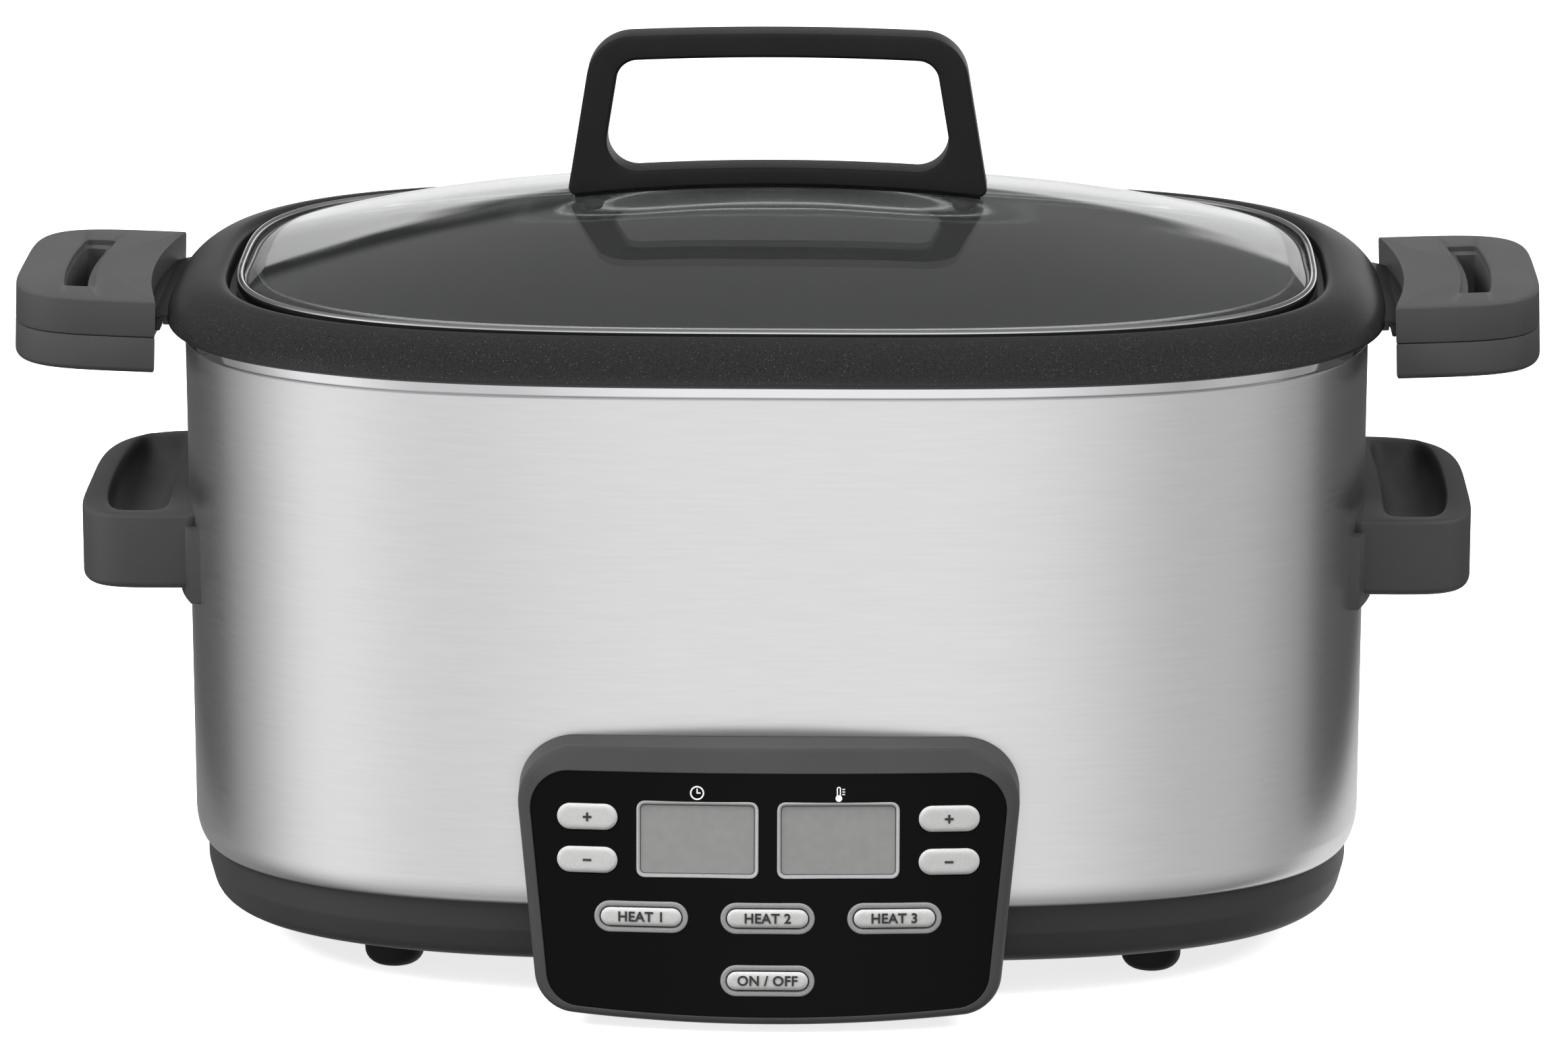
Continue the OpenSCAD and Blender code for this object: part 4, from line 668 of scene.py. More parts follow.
def gripOutline(inset, steps=160):
    a, b, power = grip["reach"] - inset, grip["half"] - inset, grip["power"]
    outer = [ovalPoint(math.pi * (k / steps - 0.5), a, b, power) for k in range(1, steps)]
    radius = (grip["half"] ** 2 + grip["hollow"] ** 2) / (2 * grip["hollow"])
    hollow = [(grip["hollow"] - radius + math.sqrt(radius ** 2 - y * y), y) for y in
              (b * (1 - k / 20) for k in range(41))]
    return outer + hollow


def slotOutline(inward, outward, half, corner):
    # the slot bows with the grip's inner side
    radius = (grip["half"] ** 2 + grip["hollow"] ** 2) / (2 * grip["hollow"])
    centre = grip["hollow"] - radius
    low, high = grip["slotX"] - grip["slotWidth"] / 2 - inward, grip["slotX"] + grip["slotWidth"] / 2 + outward

    def bow(x, y):
        return centre + math.sqrt((x - centre) ** 2 - y * y)

    corners = [(low, -half, corner), (high, -half, corner), (high, half, corner), (low, half, corner)]
    fine = []
    box = rounded(corners, closed=True, steps=6)
    for p, q in zip(box, box[1:] + box[:1]):
        fine += [p] + between(p, q, max(2, int(math.dist(p, q) / 3)))
    return [(bow(x, y), y) for x, y in fine]


def makeGrips():
    g = grip
    centre = (g["slotX"] - 0.6, 0)
    n = g["sides"]

    def ring(outline, z):
        return [(x, y, z) for x, y in rayOutline(outline, centre, n)]

    slot = slotOutline(0, 0, g["slotHalf"], 1)
    slotEdge = slotOutline(0.4, 0.15, g["slotHalf"] + 0.4, 1.2)
    shoulder = slotOutline(g["shoulder"], 0.4, g["slotHalf"] + g["shoulder"], 1.5)
    shoulderEdge = slotOutline(g["shoulder"] + 0.5, 0.8, g["slotHalf"] + g["shoulder"] + 0.5, 1.8)
    upper = [ring(gripOutline(0.5), 0.02), ring(gripOutline(0.12), 0.25), ring(gripOutline(0), 0.7)]
    r, low = g["topRound"], g["lowRound"]
    upper += [ring(gripOutline(r - r * math.cos(a)), g["up"] - r + r * math.sin(a)) for a in
              (math.pi / 2 * k / 6 for k in range(7))]
    upper += [ring(shoulderEdge, g["up"]), ring(shoulder, g["up"] - 0.4), ring(shoulder, g["up"] - 2),
              ring(slotEdge, g["up"] - 2.4), ring(slot, g["up"] - 2.8), ring(slot, 0.02)]
    lower = [ring(slot, -0.02), ring(slot, -g["down"] + 0.6), ring(slotEdge, -g["down"])]
    lower += [ring(gripOutline(low - low * math.sin(a)), -g["down"] + low - low * math.cos(a)) for a in
              (math.pi / 2 * k / 7 for k in range(8))]
    lower += [ring(gripOutline(0), -0.7), ring(gripOutline(0.12), -0.25), ring(gripOutline(0.5), -0.02)]
    for side, label in ((-1, "left"), (1, "right")):
        for name, rings in (("Top", upper), ("Bottom", lower)):
            points, faces = skin(rings, closed=True)
            piece = meshPiece(f"{label}Grip{name}", [fromGrip(side, *p) for p in points], faces, finishes["greyAbs"])
            finish(piece, "pot", "grey_plastic", f"{label}_grip_{name.lower()}")


lid = {"inset": 16.4, "bandThick": 2.3, "bandIn": 5, "bandSheet": 0.9, "low": 208.9, "top": 214.6, "edge": 213.4,
       "rise": 24.4, "power": 2, "glass": 3.5, "gap": 0.1}
lift = {"foot": 67.8, "slope": 0.165, "height": 50.4, "thick": 14.5, "leg": 9.6, "bar": 7.8, "gasket": 0.8,
        "round": 1.2, "footRound": 2.5, "topRound": 15, "lowRound": 10, "highRound": 7, "arch": 1, "sill": 6.7,
        "sillArch": 1.3}
lidPlan = lid["inset"] + lid["bandThick"] + lid["gap"]


def domeHeight(s):
    return lid["edge"] + lid["rise"] * (1 - min(1, abs(s)) ** lid["power"])


def domeAt(x):
    return domeHeight(x / (body["halfWidth"] - lidPlan))


def makeGlass():
    a, c = body["halfWidth"] - lidPlan, body["halfDepth"] - lidPlan

    def ring(s, drop, inset=0):
        return [(*ovalPoint(t, (a - inset) * s, (c - inset) * s, body["power"]), domeHeight(s) - drop)
                for t in ovalAngles]

    shares = [0.03] + [k / 26 for k in range(2, 27)]
    rings = [ring(s, lid["glass"]) for s in shares[:-1]] + [ring(1, lid["glass"], 0.5), ring(1, lid["glass"] - 0.5)]
    rings += [ring(1, 0.6), ring(1, 0.12, 0.25)] + [ring(s, 0) for s in reversed(shares[:-1])]
    top = domeHeight(0)
    glass = meshPiece("domedGlass", *skin(rings, start=(0, 0, top - lid["glass"]), end=(0, 0, top)),
                      finishes["clearGlass"], sharp=50)
    finish(glass, "lid", "tinted_glass", "lid_glass")


def makeBand():
    high, t, reach, sheet = lid["top"] - lid["low"], lid["bandThick"], lid["bandIn"], lid["bandSheet"]
    profile = rounded([(-reach, 0, 0.2), (0, 0, 0.9), (0, high, 1.15), (-t, high, 1.1), (-t, sheet, 0.2),
                       (-reach, sheet, 0.2)], closed=True, steps=8)
    band = sweptRing("polishedBand", profile, lid["inset"], lid["low"], finishes["polishedSteel"])
    finish(band, "lid", "polished_steel", "lid_band")


def liftOutline(inward, low, high, lowRound, highRound, grow, follow):
    # a trapezoid with round corners; its sides lean in, its low edge follows the glass or bows gently
    lean = math.atan(lift["slope"])
    footZ = domeAt(lift["foot"] - lift["footRound"]) + lift["gasket"]

    def side(z, r):
        return lift["foot"] - lift["slope"] * (z - footZ) - (inward + r) / math.cos(lean)

    c0 = (side(low + lowRound, lowRound), low + lowRound)
    c1 = (side(high - highRound, highRound), high - highRound)
    first = arcPoints(c0, lowRound + grow, -90, math.degrees(lean), 12)
    second = arcPoints(c1, highRound + grow, math.degrees(lean), 90, 14)
    half = first + between(first[-1], second[0], 12) + second
    other = mirrored(half)
    over = [(x, y + lift["arch"] * (1 - (x / half[-1][0]) ** 2)) for x, y in between(half[-1], other[0], 30)]
    under = [(x, y + (domeAt(x) - domeAt(half[0][0]) if follow else lift["sillArch"] * (1 - (x / half[0][0]) ** 2)))
             for x, y in between(other[-1], half[0], 30)]
    return half + over + other + under


def makeLift():
    crown = lid["edge"] + lid["rise"]
    footZ = domeAt(lift["foot"] - lift["footRound"]) + lift["gasket"]
    top = crown + lift["height"]

    def outer(inset):
        return liftOutline(0, footZ, top - lift["arch"], lift["footRound"], lift["topRound"], -inset, True)

    def window(grow):
        return liftOutline(lift["leg"], crown + lift["sill"] - lift["sillArch"], top - lift["bar"] - lift["arch"],
                           lift["lowRound"], lift["highRound"], grow, False)

    half, r = lift["thick"] / 2, lift["round"]
    bend = [(r - r * math.cos(a), r - r * math.sin(a)) for a in (math.pi / 2 * k / 7 for k in range(8))]
    rings = []
    # round the four edges: outside at the back, window at the back and at the front, outside at the front
    for outline, turned, back in ((outer, False, 1), (window, True, 1), (window, False, -1), (outer, True, -1)):
        for inset, drop in (reversed(bend) if turned else bend):
            rings.append([(x, back * (half - drop), z) for x, z in outline(inset)])
    piece = meshPiece("lidHandleLoop", *skin(rings, closed=True), finishes["blackNylon"], sharp=50)
    finish(piece, "lid", "black_plastic", "lid_handle")


sideHandle = {"half": 58, "reach": 33.5, "frontPower": 6, "backPower": 3.3, "z": 116.5, "height": 24.8,
              "lowRound": 2.5, "topRound": 1.6, "sides": 260, "sunk": 0.8, "scoopMiddle": 206.2, "scoopHalf": 10.3,
              "scoopLength": 50.5, "scoopBow": 2.5, "scoopDepth": 10, "scoopPower": 5, "flangeLow": 3.2,
              "flangeThick": 3, "flangeHalf": 64}


def wrapEnd(y):
    return body["halfWidth"] * (1 - (abs(y) / body["halfDepth"]) ** body["power"]) ** (1 / body["power"])


def makeSideHandles():
    h = sideHandle
    top, low = h["z"] + h["height"], h["z"]
    centre = (h["scoopMiddle"], 0)
    root = body["halfWidth"] - 4

    def ring(inset, z):
        # squarer at its front end than at its back
        a, b = body["halfWidth"] + h["reach"] - root - inset, h["half"] - inset
        outer = [ovalPoint(math.pi * (k / 120 - 0.5), a, b, h["frontPower"] if k < 60 else h["backPower"])
                 for k in range(1, 120)]
        outline = [(max(root + x, wrapEnd(y) - h["sunk"]), y) for x, y in outer]
        back = [(wrapEnd(y) - h["sunk"], y) for y in (b * 0.995 * (1 - k / 20) for k in range(41))]
        return [(x, y, z) for x, y in rayOutline(outline + back, centre, h["sides"])]

    def scoop(share, z):
        # a long oval with square ends, bowed outwards
        a, b = h["scoopHalf"] * share, h["scoopLength"] * (share * 0.7 + 0.3)
        outline = [(h["scoopMiddle"] + x - h["scoopBow"] * (y / h["scoopLength"]) ** 2, y) for x, y in
                   (ovalPoint(2 * math.pi * k / 240, a, b, h["scoopPower"]) for k in range(240))]
        return [(x, y, z) for x, y in rayOutline(outline, centre, h["sides"])]

    quarter = [math.pi / 2 * k / 6 for k in range(7)]
    r, t = h["lowRound"], h["topRound"]
    rings = [ring(r - r * math.sin(a), low + r - r * math.cos(a)) for a in quarter]
    rings += [ring(t - t * math.cos(a), top - t + t * math.sin(a)) for a in quarter]
    rings += [scoop(1.07, top), scoop(1.03, top - 0.25), scoop(1, top - 0.9)]
    rings += [scoop(math.cos(a) * 0.97, top - 1.1 - (h["scoopDepth"] - 1.1) * math.sin(a) ** 0.8) for a in
              (math.pi / 2 * k / 10 for k in range(1, 10))]
    shape = skin(rings, end=(h["scoopMiddle"], 0, top - h["scoopDepth"]))
    flangeRings = []
    for z, pull in ((low - h["flangeLow"], 0.5), (low - h["flangeLow"] + 0.5, 0), (top - 4.4, 0), (top - 4, 0.4)):
        span = h["flangeHalf"] - pull
        edge = [(wrapEnd(y) + h["flangeThick"] - pull, y) for y in (-span + 2 * span * k / 40 for k in range(41))]
        inner = [(wrapEnd(y) - 0.6, y) for x, y in reversed(edge)]
        flangeRings.append([(x, y, z) for x, y in edge + inner])
    both = joined(shape, skin(flangeRings))
    for side, label in ((-1, "left"), (1, "right")):
        points = [(side * x, y, z) for x, y, z in both[0]]
        piece = meshPiece(f"{label}SideHandle", points, both[1], finishes["greyAbs"], sharp=45)
        finish(piece, "housing", "grey_plastic", f"{label}_body_handle")


panel = {"reach": 155, "z": 2.9, "tilt": math.radians(8.4), "height": 86.6, "low": 142.8, "top": 160.2,
         "faceRadius": 350, "lowRound": 13, "topRound": 18, "edgeRound": 2.2, "sag": 2.6, "sideBand": 3.9,
         "topBand": 7.8, "lowBand": 2.4, "lensTopRound": 12, "lensSink": 2.7, "bevelDrop": 2.3, "backRise": 2,
         "tray": 1.8, "turnClear": 0.5}
displaySet = {"x": 21.9, "v": 58, "width": 38, "height": 24, "band": 1.2, "sink": 1.1}
keySet = {"smallX": 56.3, "smallV": (64.6, 51.1), "smallWidth": 19, "smallHeight": 8.2, "ringX": 39.4, "ringV": 33.5,
          "startV": 13.9, "ringWidth": 29.3, "ringHeight": 9.8, "ringBand": 1.7, "gap": 0.3, "proud": 0.4,
          "depth": 3.4, "letter": 4.3, "spread": 1.05, "signReach": 1.35, "signHalf": 0.34}
printSet = {"half": 0.03, "weight": 0.024, "x": 22, "v": 72.7, "depth": 0.57, "clock": 2.2, "clockIn": 1.75,
            "tube": (3.8, 1.3), "tubeWall": 0.36, "bulb": 1.05}
slopeSide = (panel["top"] - panel["low"]) / 2 / panel["height"]
sideLean = math.atan(slopeSide)


def onPanel(x, depth, v):
    # depth behind the curved face and height along it, as a point in the body's frame
    d = depth + panel["faceRadius"] - math.sqrt(panel["faceRadius"] ** 2 - x * x)
    c, s = math.cos(panel["tilt"]), math.sin(panel["tilt"])
    return (x, d * c + v * s - panel["reach"], v * c - d * s + panel["z"])


def panelOutline(inset, low, high, lowRound, highRound):
    # the low edge sags in the middle
    def side(v):
        return panel["low"] / 2 + slopeSide * v - inset / math.cos(sideLean)

    lean = math.degrees(sideLean)
    foot = low + panel["sag"] + lowRound
    first = arcPoints((side(foot) - lowRound / math.cos(sideLean), foot), lowRound, -85, -lean, 14)
    second = arcPoints((side(high - highRound) - highRound / math.cos(sideLean), high - highRound), highRound,
                       -lean, 90, 14)
    right = first + between(first[-1], second[0], 20) + second
    left = mirrored(right)
    under = [(x, v - panel["sag"] * (1 - (x / right[0][0]) ** 2)) for x, v in between(left[-1], right[0], 28)]
    return right + between(right[-1], left[0], 28) + left + under


def bezelOutline(inset):
    return panelOutline(inset, inset, panel["height"] - inset, panel["lowRound"] - inset, panel["topRound"] - inset)


def lensOutline(inset):
    return panelOutline(panel["sideBand"] + inset, panel["lowBand"] + inset,
                        panel["height"] - panel["topBand"] - inset, panel["lowRound"] - panel["lowBand"] - inset,
                        panel["lensTopRound"] - inset)


def frontAt(x, inset):
    # how far the body's front lies from its middle
    a, c = body["halfWidth"] - inset, body["halfDepth"] - inset
    return c * (1 - (abs(x) / a) ** body["power"]) ** (1 / body["power"])


def meetInset(z):
    # the inset of the wall that the bezel's back meets: the wrap, its turned edge or the base
    if z > body["bottom"] + body["turnHeight"] + 2:
        return wrapInset(z)
    return wrapInset(max(z, body["bottom"])) - panel["turnClear"] if z > body["bottom"] - 2 else base["inset"]


def makeBezel():
    lensTop = panel["height"] - panel["topBand"]

    def faceRing(outline, depth):
        out = []
        for x, v in outline:
            share = min(1, max(0, (v - lensTop) / (panel["topBand"] - 1.8)))
            out.append(onPanel(x, depth + panel["bevelDrop"] * share, v))
        return out

    def backRing(outline):
        out = []
        for x, v in outline:
            z = panel["z"] + math.cos(panel["tilt"]) * (v + panel["backRise"] * (1 - v / panel["height"]))
            out.append((x, -frontAt(x, meetInset(z)) - 0.25, z))
        return out

    def mixed(first, second, share):
        return [tuple(a + (b - a) * share for a, b in zip(p, q)) for p, q in zip(first, second)]

    r, sink = panel["edgeRound"], panel["lensSink"]
    turn = [faceRing(bezelOutline(r - r * math.sin(a)), r - r * math.cos(a)) for a in
            (math.pi / 2 * k / 7 for k in range(8))]
    back = backRing(bezelOutline(0))
    side = [mixed(turn[-1], back, share) for share in (0.03, 0.3, 0.6, 0.97)]
    inside = backRing(bezelOutline(panel["tray"]))
    rings = [faceRing(lensOutline(-0.1), sink), faceRing(lensOutline(-0.1), 0.25), faceRing(lensOutline(-0.35), 0)]
    rings += turn + side + [back, inside, faceRing(bezelOutline(panel["tray"]), sink)]
    # the bezel takes the darker copy of the grey ABS, which holds painted shade on its front
    piece = meshPiece("panelBezel", *skin(rings, closed=True), finishes["bezelAbsPaintedShade"], sharp=38)
    finish(piece, "housing", "grey_plastic", "control_bezel")


def faceLoft(name, layers, material, closed=False, sharp=38):
    # layers of (outline, depth) on the curved face, skinned
    rings = [[onPanel(x, d, v) for x, v in outline] for outline, d in layers]
    return meshPiece(name, *skin(rings, closed=closed), material, sharp=sharp)


def movedTo(outline, x, v):
    return [(a + x, b + v) for a, b in outline]


def makeDisplays():
    d = displaySet
    for side, label in ((-1, "left"), (1, "right")):
        x, v = side * d["x"], d["v"]

        def box(inset, corner):
            return movedTo(roundBox(d["width"] - 2 * inset, d["height"] - 2 * inset, corner, 4), x, v)

        layers = [(box(0, 2.5), 2.6), (box(0, 2.5), 0.55), (box(0.12, 2.4), 0.42), (box(0.4, 2.2), 0.38),
                  (box(d["band"] * 0.8, 1.7), 0.8), (box(d["band"], 1.4), 1.2), (box(d["band"], 1.4), 2.6)]
        frameRing = faceLoft(f"{label}DisplayFrame", layers, finishes["silverPaint"], closed=True, sharp=60)
        finish(frameRing, "housing", "silver_plastic", f"{label}_display_frame")
        glassLayers = [(box(d["band"] + 0.1, 1.3), 3), (box(d["band"] + 0.1, 1.3), d["sink"] + 0.15),
                       (box(d["band"] + 0.25, 1.2), d["sink"])]
        screen = faceLoft(f"{label}DisplayScreen", glassLayers, finishes["display"])
        finish(screen, "housing", "display", f"{label}_display")


def makeKeyRings():
    k = keySet
    spots = [(-k["ringX"], k["ringV"]), (0, k["ringV"]), (k["ringX"], k["ringV"]), (0, k["startV"])]
    w, h, b = k["ringWidth"], k["ringHeight"], k["ringBand"]
    for (x, v), name in zip(spots, ("slow", "brown", "steam", "start")):
        def oval(inset):
            return movedTo(stadium(w - 2 * inset, h - 2 * inset), x, v)

        layers = [(oval(0), 3), (oval(0), 0.6), (oval(0.2), 0.3), (oval(0.6), 0.2), (oval(b - 0.5), 0.25),
                  (oval(b - 0.15), 0.4), (oval(b), 0.8), (oval(b), 3)]
        piece = faceLoft(f"{name}KeySurround", layers, finishes["ringGrey"], closed=True)
        finish(piece, "housing", "silver_plastic", f"{name}_key_ring")


def keyShape(name, x, v, w, h):
    def oval(inset):
        return movedTo(stadium(w - 2 * inset, h - 2 * inset), x, v)

    front = -keySet["proud"]
    layers = [(oval(0), keySet["depth"]), (oval(0), front + 1.1), (oval(0.12), front + 0.65), (oval(0.4), front + 0.3),
              (oval(0.9), front + 0.08), (oval(1.5), front), (oval(min(2.4, h / 2 - 0.3)), front)]
    return faceLoft(name, layers, finishes["keyGrey"], sharp=45)


def inkOnPanel(name, obj, x, v, depth, material, bodyName, slot):
    # bends a thin flat print, drawn in mm, onto the curved face
    mesh = obj.data if obj.type == "MESH" else bpy.data.meshes.new_from_object(obj.evaluated_get(
        bpy.context.evaluated_depsgraph_get()))
    work = bmesh.new()
    work.from_mesh(mesh)
    for vert in work.verts:
        px, py, pz = onPanel(x + vert.co.x, depth - vert.co.z, v + vert.co.y)
        vert.co = (px * mm, (py + bodyShift) * mm, pz * mm)
    bmesh.ops.remove_doubles(work, verts=work.verts, dist=1e-7)
    bmesh.ops.recalc_face_normals(work, faces=work.faces)
    bent = bpy.data.meshes.new(name)
    work.to_mesh(bent)
    work.free()
    bent.materials.clear()
    bent.materials.append(material)
    bpy.data.objects.remove(obj)
    return finish(addObject(name, bent), bodyName, slot)


def textShape(words):
    curve = bpy.data.curves.new("words", "FONT")
    curve.body = words
    curve.size = keySet["letter"]
    curve.align_x, curve.align_y = "CENTER", "CENTER"
    curve.extrude = printSet["half"]
    curve.offset = printSet["weight"] * keySet["letter"]  # a bolder stroke
    curve.space_character = keySet["spread"]
    curve.resolution_u = 4
    obj = addObject("words", curve)
    bpy.context.view_layer.update()
    return obj


def flatShape(outlines, frames=()):
    # flat prints from filled outlines, and from frames between an outer and an inner outline
    half = printSet["half"]
    parts = [skin([[(x, y, z) for x, y in outline] for z in (-half, half)]) for outline in outlines]
    for outer, inner in frames:
        loops = ((outer, -half), (outer, half), (inner, half), (inner, -half))
        parts.append(skin([[(x, y, z) for x, y in loop] for loop, z in loops], closed=True))
    points, faces = joined(*parts)
    mesh = bpy.data.meshes.new("print")
    mesh.from_pydata(points, [], faces)
    return addObject("print", mesh)


def bar(x0, y0, x1, y1):
    return [(x0, y0), (x1, y0), (x1, y1), (x0, y1)]


def makeKeys():
    k = keySet
    top = -k["proud"] - printSet["half"]
    w, h = (k[size] - 2 * (k["ringBand"] + k["gap"]) for size in ("ringWidth", "ringHeight"))
    long, thin = k["signReach"], k["signHalf"]
    minus = [bar(-long, -thin, long, thin)]
    plus = minus + [bar(-thin, thin, thin, long), bar(-thin, -long, thin, -thin)]
    keys = [("slow", "slow", -k["ringX"], k["ringV"], "HEAT 1"), ("brown", "brown", 0, k["ringV"], "HEAT 2"),
            ("steam", "steam", k["ringX"], k["ringV"], "HEAT 3"), ("start", "start", 0, k["startV"], "ON / OFF"),
            ("time_plus", "timePlus", -k["smallX"], k["smallV"][0], plus),
            ("time_minus", "timeMinus", -k["smallX"], k["smallV"][1], minus),
            ("temp_plus", "tempPlus", k["smallX"], k["smallV"][0], plus),
            ("temp_minus", "tempMinus", k["smallX"], k["smallV"][1], minus)]
    for name, label, x, v, drawn in keys:
        words = isinstance(drawn, str)
        size = (w, h) if words else (k["smallWidth"], k["smallHeight"])
        finish(keyShape(f"{label}Key", x, v, *size), f"{name}_key_body", "key_plastic", f"{name}_key")
        flat = textShape(drawn) if words else flatShape(drawn)
        inkOnPanel(f"{label}KeyPrint", flat, x, v, top, finishes["darkInk"], f"{name}_key_body", "face_plate")


def makePictograms():
    # a clock and a thermometer over the displays
    p = printSet
    face = [arcPoints((0, 0), r, 0, 360, 48)[:-1] for r in (p["clock"], p["clockIn"])]
    hands = [bar(-0.2, -0.2, 0.2, 1.35), bar(0.12, -0.2, 1.1, 0.2)]
    tube = []
    for wall in (0, p["tubeWall"]):
        tall = stadium(p["tube"][0] - 2 * wall, p["tube"][1] - 2 * wall)
        tube.append([(y, x + 0.3) for x, y in reversed(tall)])
    marks = [bar(1.1, y, 1.9, y + 0.34) for y in (1.2, 0.4, -0.4)]
    bulb = arcPoints((0, -1.45), p["bulb"], 0, 360, 24)[:-1]
    for name, shape, x in (("clockPrint", flatShape(hands, [face]), -p["x"]),
                           ("thermometerPrint", flatShape([bulb] + marks, [tube]), p["x"])):
        inkOnPanel(name, shape, x, p["v"], p["depth"], finishes["whiteInk"], "housing", "key_plastic")


# the spring under the pot sensor, coiled by geometry nodes
spring = {"turns": 4, "wire": 0.45, "travel": 2}


def springTree():
    tree = bpy.data.node_groups.new("coilSpring", "GeometryNodeTree")
    face = tree.interface
    face.new_socket("Geometry", in_out="INPUT", socket_type="NodeSocketGeometry")
    for name in ("Turns", "Radius", "Height", "Wire Radius"):
        face.new_socket(name, in_out="INPUT", socket_type="NodeSocketFloat")
    face.new_socket("Foot", in_out="INPUT", socket_type="NodeSocketVector")
    face.new_socket("Finish", in_out="INPUT", socket_type="NodeSocketMaterial")
    face.new_socket("Spring", in_out="OUTPUT", socket_type="NodeSocketGeometry")
    start = addNode(tree, "NodeGroupInput").outputs
    coil = addNode(tree, "GeometryNodeCurveSpiral", {"Resolution": 36}, Rotations=start["Turns"],
                   Height=start["Height"], Start_Radius=start["Radius"], End_Radius=start["Radius"])
    wire = addNode(tree, "GeometryNodeCurvePrimitiveCircle", {"Resolution": 12}, Radius=start["Wire Radius"])
    tube = addNode(tree, "GeometryNodeCurveToMesh", {"Fill Caps": True}, Curve=coil, Profile_Curve=wire)
    lifted = addNode(tree, "GeometryNodeTransform", None, Geometry=tube, Translation=start["Foot"])
    real = addNode(tree, "GeometryNodeRealizeInstances", None, Geometry=lifted)
    dressed = addNode(tree, "GeometryNodeSetMaterial", None, Geometry=real, Material=start["Finish"])
    addNode(tree, "NodeGroupOutput", None, Spring=dressed)
    return tree


def makeSpring():
    low, high = (Vector(corner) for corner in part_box("sensor_spring"))
    wire = spring["wire"] * mm
    blank = addObject("sensorSpring", bpy.data.meshes.new("springBlank"))
    coil = blank.modifiers.new("coil", "NODES")
    coil.node_group = springTree()
    setInputs(coil, {"Turns": float(spring["turns"]), "Radius": (high.x - low.x) / 2 - wire,
                     "Height": high.z - low.z - 2 * wire, "Wire Radius": wire,
                     "Foot": ((low.x + high.x) / 2, (low.y + high.y) / 2, low.z + wire),
                     "Finish": finishes["screwSteel"]})
    piece = plainMesh(blank, "sensorSpring")
    finish(piece, "housing", "screw_steel", "sensor_spring")
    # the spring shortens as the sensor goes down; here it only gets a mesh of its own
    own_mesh(piece)


# pieces that keep their plain shape get a finish here
plainPieces = {
    "panel_lens": "facePlate", "panel_housing": "blackNylon", "bottom_cover": "aluminium",
    "heating_plate": "castAluminium", "heating_element": "sheath", "heat_shield": "aluminium",
    "thermal_fuse": "ceramic", "sensor_guide": "aluminium", "sensor_plunger": "polishedSteel",
    "cord_gland": "rubber", "lid_handle_gasket": "rubber", "control_board": "board", "power_board": "board",
}
plainGroups = {"screws": "screwSteel", "washers": "screwSteel", "spring": "screwSteel", "foot": "rubber"}


def dressFrame():
    for name, obj in nodes.items():
        key = plainPieces.get(name) or next((plainGroups[word] for word in plainGroups if word in name), None)
        if key:
            for slot in obj.material_slots:
                slot.material = finishes[key]


floorSet = {"half": 6, "drop": 0.0002, "tone": "#8f8f8f", "seenTone": "#e6e6e6", "lift": 0.78}


def addFloor():
    # white paper; seen directly it is lifted to white, and it still takes the object's shadow
    mesh = bpy.data.meshes.new("studioFloor")
    r, z = floorSet["half"], -floorSet["drop"]
    mesh.from_pydata([(-r, -r, 0), (r, -r, 0), (r, r, 0), (-r, r, 0)], [], [(0, 1, 2, 3)])
    floor = addObject("studioFloor", mesh)
    floor.location.z = z
    material, tree = blankMaterial("paperFloor")
    seen = addNode(tree, "ShaderNodeLightPath").outputs["Is Camera Ray"]
    tone = addNode(tree, "ShaderNodeMix", {"data_type": "RGBA"}, input0=seen, input6=linear(floorSet["tone"]),
                   input7=linear(floorSet["seenTone"]))
    paper = addNode(tree, "ShaderNodeBsdfDiffuse", None, Color=tone.outputs[2])
    lift = addNode(tree, "ShaderNodeMath", {"operation": "MULTIPLY"}, input0=seen, input1=floorSet["lift"])
    glow = addNode(tree, "ShaderNodeEmission", None, Strength=lift)
    total = addNode(tree, "ShaderNodeAddShader", None, input0=paper, input1=glow)
    addNode(tree, "ShaderNodeOutputMaterial", None, Surface=total)
    mesh.materials.append(material)
    floor.visible_glossy = False


cards = {"tone": "#585858", "top": 0.21, "far": 0.7, "left": {"x": -0.30, "near": -0.03},
         "right": {"x": 0.30, "near": -0.05}}


def addCards():
    # dark cards beside the object, seen only in its reflections, as in a studio
    material, tree = blankMaterial("blackCard")
    dark = addNode(tree, "ShaderNodeEmission", {"Color": linear(cards["tone"]), "Strength": 1.0})
    addNode(tree, "ShaderNodeOutputMaterial", None, Surface=dark)
    for label in ("left", "right"):
        x, near, far, top = cards[label]["x"], cards[label]["near"], cards["far"], cards["top"]
        mesh = bpy.data.meshes.new(f"{label}Card")
        mesh.from_pydata([(x, near, 0), (x, far, 0), (x, far, top), (x, near, top)], [], [(0, 1, 2, 3)])
        mesh.materials.append(material)
        obj = addObject(f"{label}Card", mesh)
        obj.visible_camera = obj.visible_diffuse = obj.visible_shadow = obj.visible_transmission = False


# the room in reflections: bands, card and line go by degrees, the other limits by the view's direction, up or back
world = {"bands": [(-180, 0.33), (-125, 0.3), (-100, 0.28), (-88, 0.43), (-77, 0.62), (-62, 0.96), (-46, 0.98),
                   (-30, 0.68), (-15, 0.68), (-3, 1.02), (12, 0.95), (26, 0.64), (40, 0.48), (54, 0.56), (70, 0.5),
                   (84, 0.34), (105, 0.31), (180, 0.33)],
         "below": (-0.8, -0.42, 0.6, 1.2), "cardTop": 0.1735, "edge": 0.006, "lineTop": (0.045, 0.1),
         "card": (-15, -8, 0.3, 1.0), "line": (-7, 1, 0.01, 0.18), "ceiling": 0.18, "behind": (0.4, 0.15),
         "over": (0.3, 0.9), "zenith": 0.28, "plain": 0.28, "seen": 1.0}


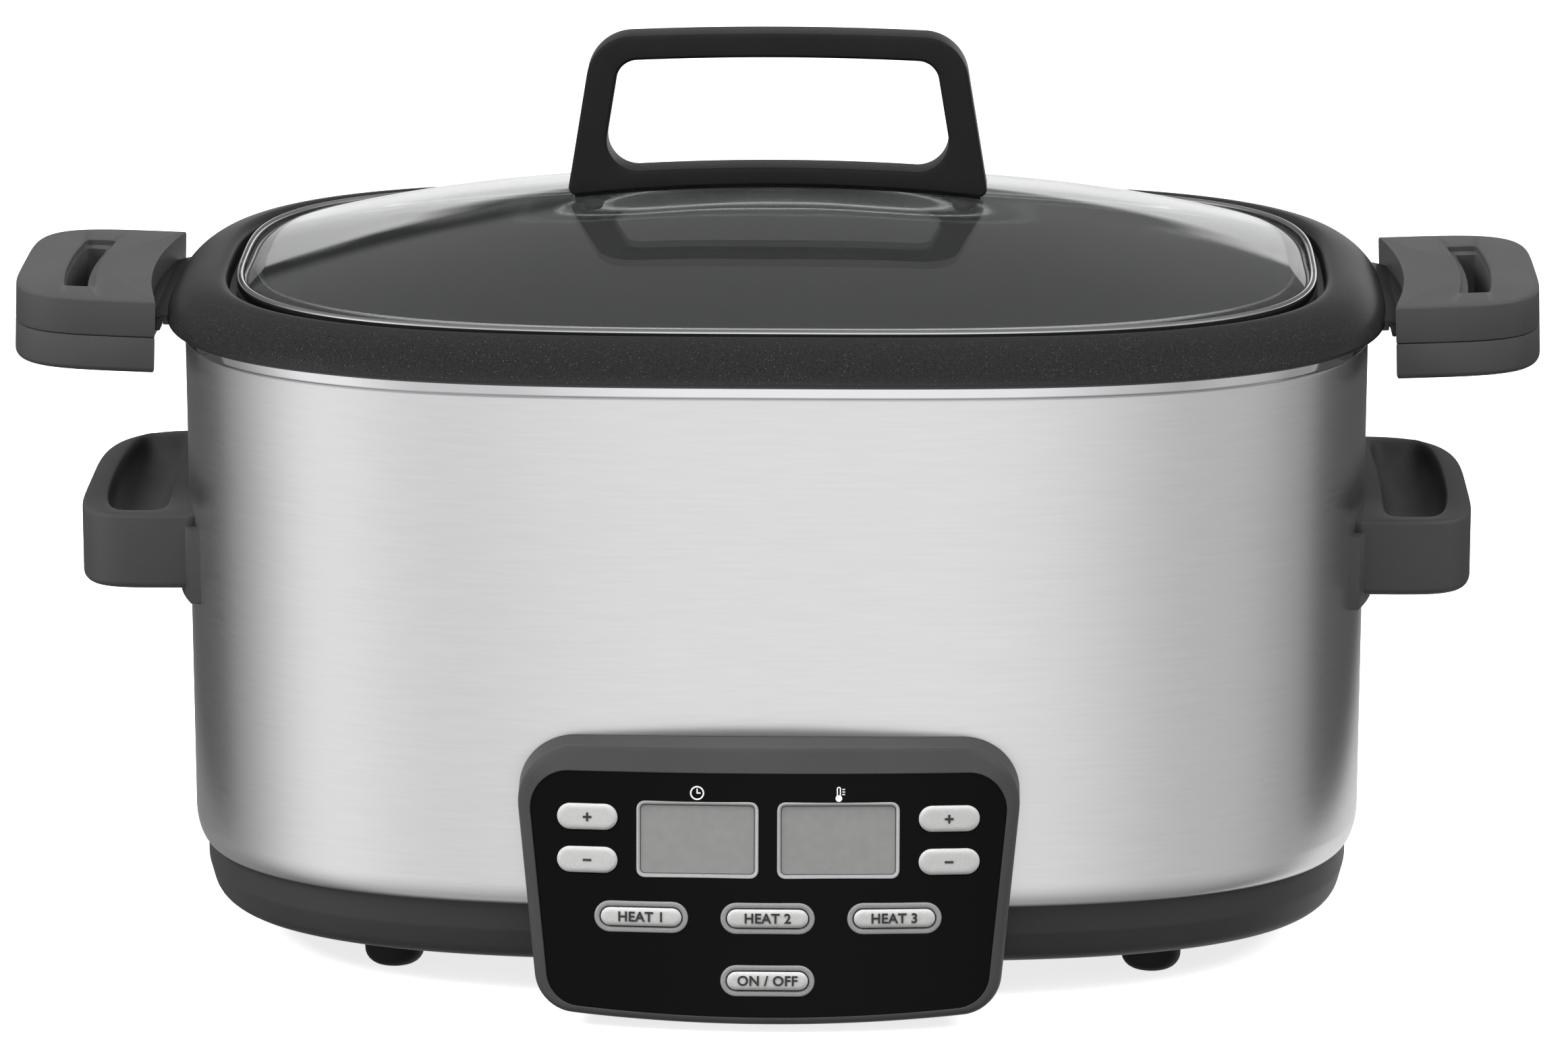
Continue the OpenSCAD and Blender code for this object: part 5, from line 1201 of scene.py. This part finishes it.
def addWorld():
    # white where it is seen; in reflections a white card behind with a black edge, soft bands in front, a dim ceiling
    room = bpy.data.worlds.new("studioRoom")
    bpy.context.scene.world = room
    room.use_nodes = True
    tree = room.node_tree
    tree.nodes.clear()
    w = world
    path = addNode(tree, "ShaderNodeLightPath").outputs
    view = addNode(tree, "ShaderNodeTexCoord").outputs["Generated"]
    x, y, z = addNode(tree, "ShaderNodeSeparateXYZ", None, Vector=view).outputs
    front = addNode(tree, "ShaderNodeMath", {"operation": "MULTIPLY"}, input0=y, input1=-1.0)
    turn = addNode(tree, "ShaderNodeMath", {"operation": "ARCTAN2"}, input0=x, input1=front)
    share = addNode(tree, "ShaderNodeMapRange", {"From Min": -math.pi, "From Max": math.pi}, Value=turn)
    stops = [((angle + 180) / 360, (level, level, level, 1)) for angle, level in w["bands"]]
    bands = addNode(tree, "ShaderNodeValToRGB", {"stops": stops}, Fac=share)
    backTurn = addNode(tree, "ShaderNodeMath", {"operation": "ARCTAN2"}, input0=x, input1=y)
    fades = []
    for source, (start, end, low, high), unit in ((z, w["below"], 1), (backTurn, w["card"], math.pi / 180),
                                                  (backTurn, w["line"], math.pi / 180)):
        fades.append(addNode(tree, "ShaderNodeMapRange", {"From Min": start * unit, "From Max": end * unit,
                                                          "To Min": low, "To Max": high}, Value=source))
    below, card, line = fades
    ahead = addNode(tree, "ShaderNodeMath", {"operation": "MULTIPLY"}, input0=bands, input1=below)
    # one layer over another: the card, its black edge, the ceiling behind, what lies in front, and straight up
    top = w["cardTop"]
    level = card
    for source, (start, end), other in ((z, (top - w["edge"], top + w["edge"]), line),
                                        (z, [top + part for part in w["lineTop"]], w["ceiling"]),
                                        (y, w["behind"], ahead), (z, w["over"], w["zenith"])):
        share = addNode(tree, "ShaderNodeMapRange", {"From Min": start, "From Max": end}, Value=source)
        level = addNode(tree, "ShaderNodeMix", {"data_type": "FLOAT"}, input0=share, input2=level, input3=other)
    shown = addNode(tree, "ShaderNodeMath", {"operation": "MAXIMUM"}, input0=path["Is Glossy Ray"],
                    input1=path["Is Transmission Ray"])
    plain = addNode(tree, "ShaderNodeMix", {"data_type": "FLOAT"}, input0=shown, input2=w["plain"], input3=level)
    seen = addNode(tree, "ShaderNodeMix", {"data_type": "FLOAT"}, input0=path["Is Camera Ray"], input2=plain,
                   input3=w["seen"])
    light = addNode(tree, "ShaderNodeBackground", {"Color": (1, 1, 1, 1)}, Strength=seen)
    addNode(tree, "ShaderNodeOutputWorld", None, Surface=light)


addCamera()
makeWrap()
makeTrim()
makeBase()
makeLiner()
print("body made")
makePot()
makeGrips()
print("pot made")
makeGlass()
makeBand()
makeLift()
print("lid made")
makeSideHandles()
makeBezel()
makeDisplays()
makeKeyRings()
makeKeys()
makePictograms()
makeSpring()
print("handles, panel and spring made")
dressFrame()
addFloor()
addCards()
addWorld()
addLamps()
bpy.context.scene.view_settings.view_transform = "Standard"
print("scene ready")
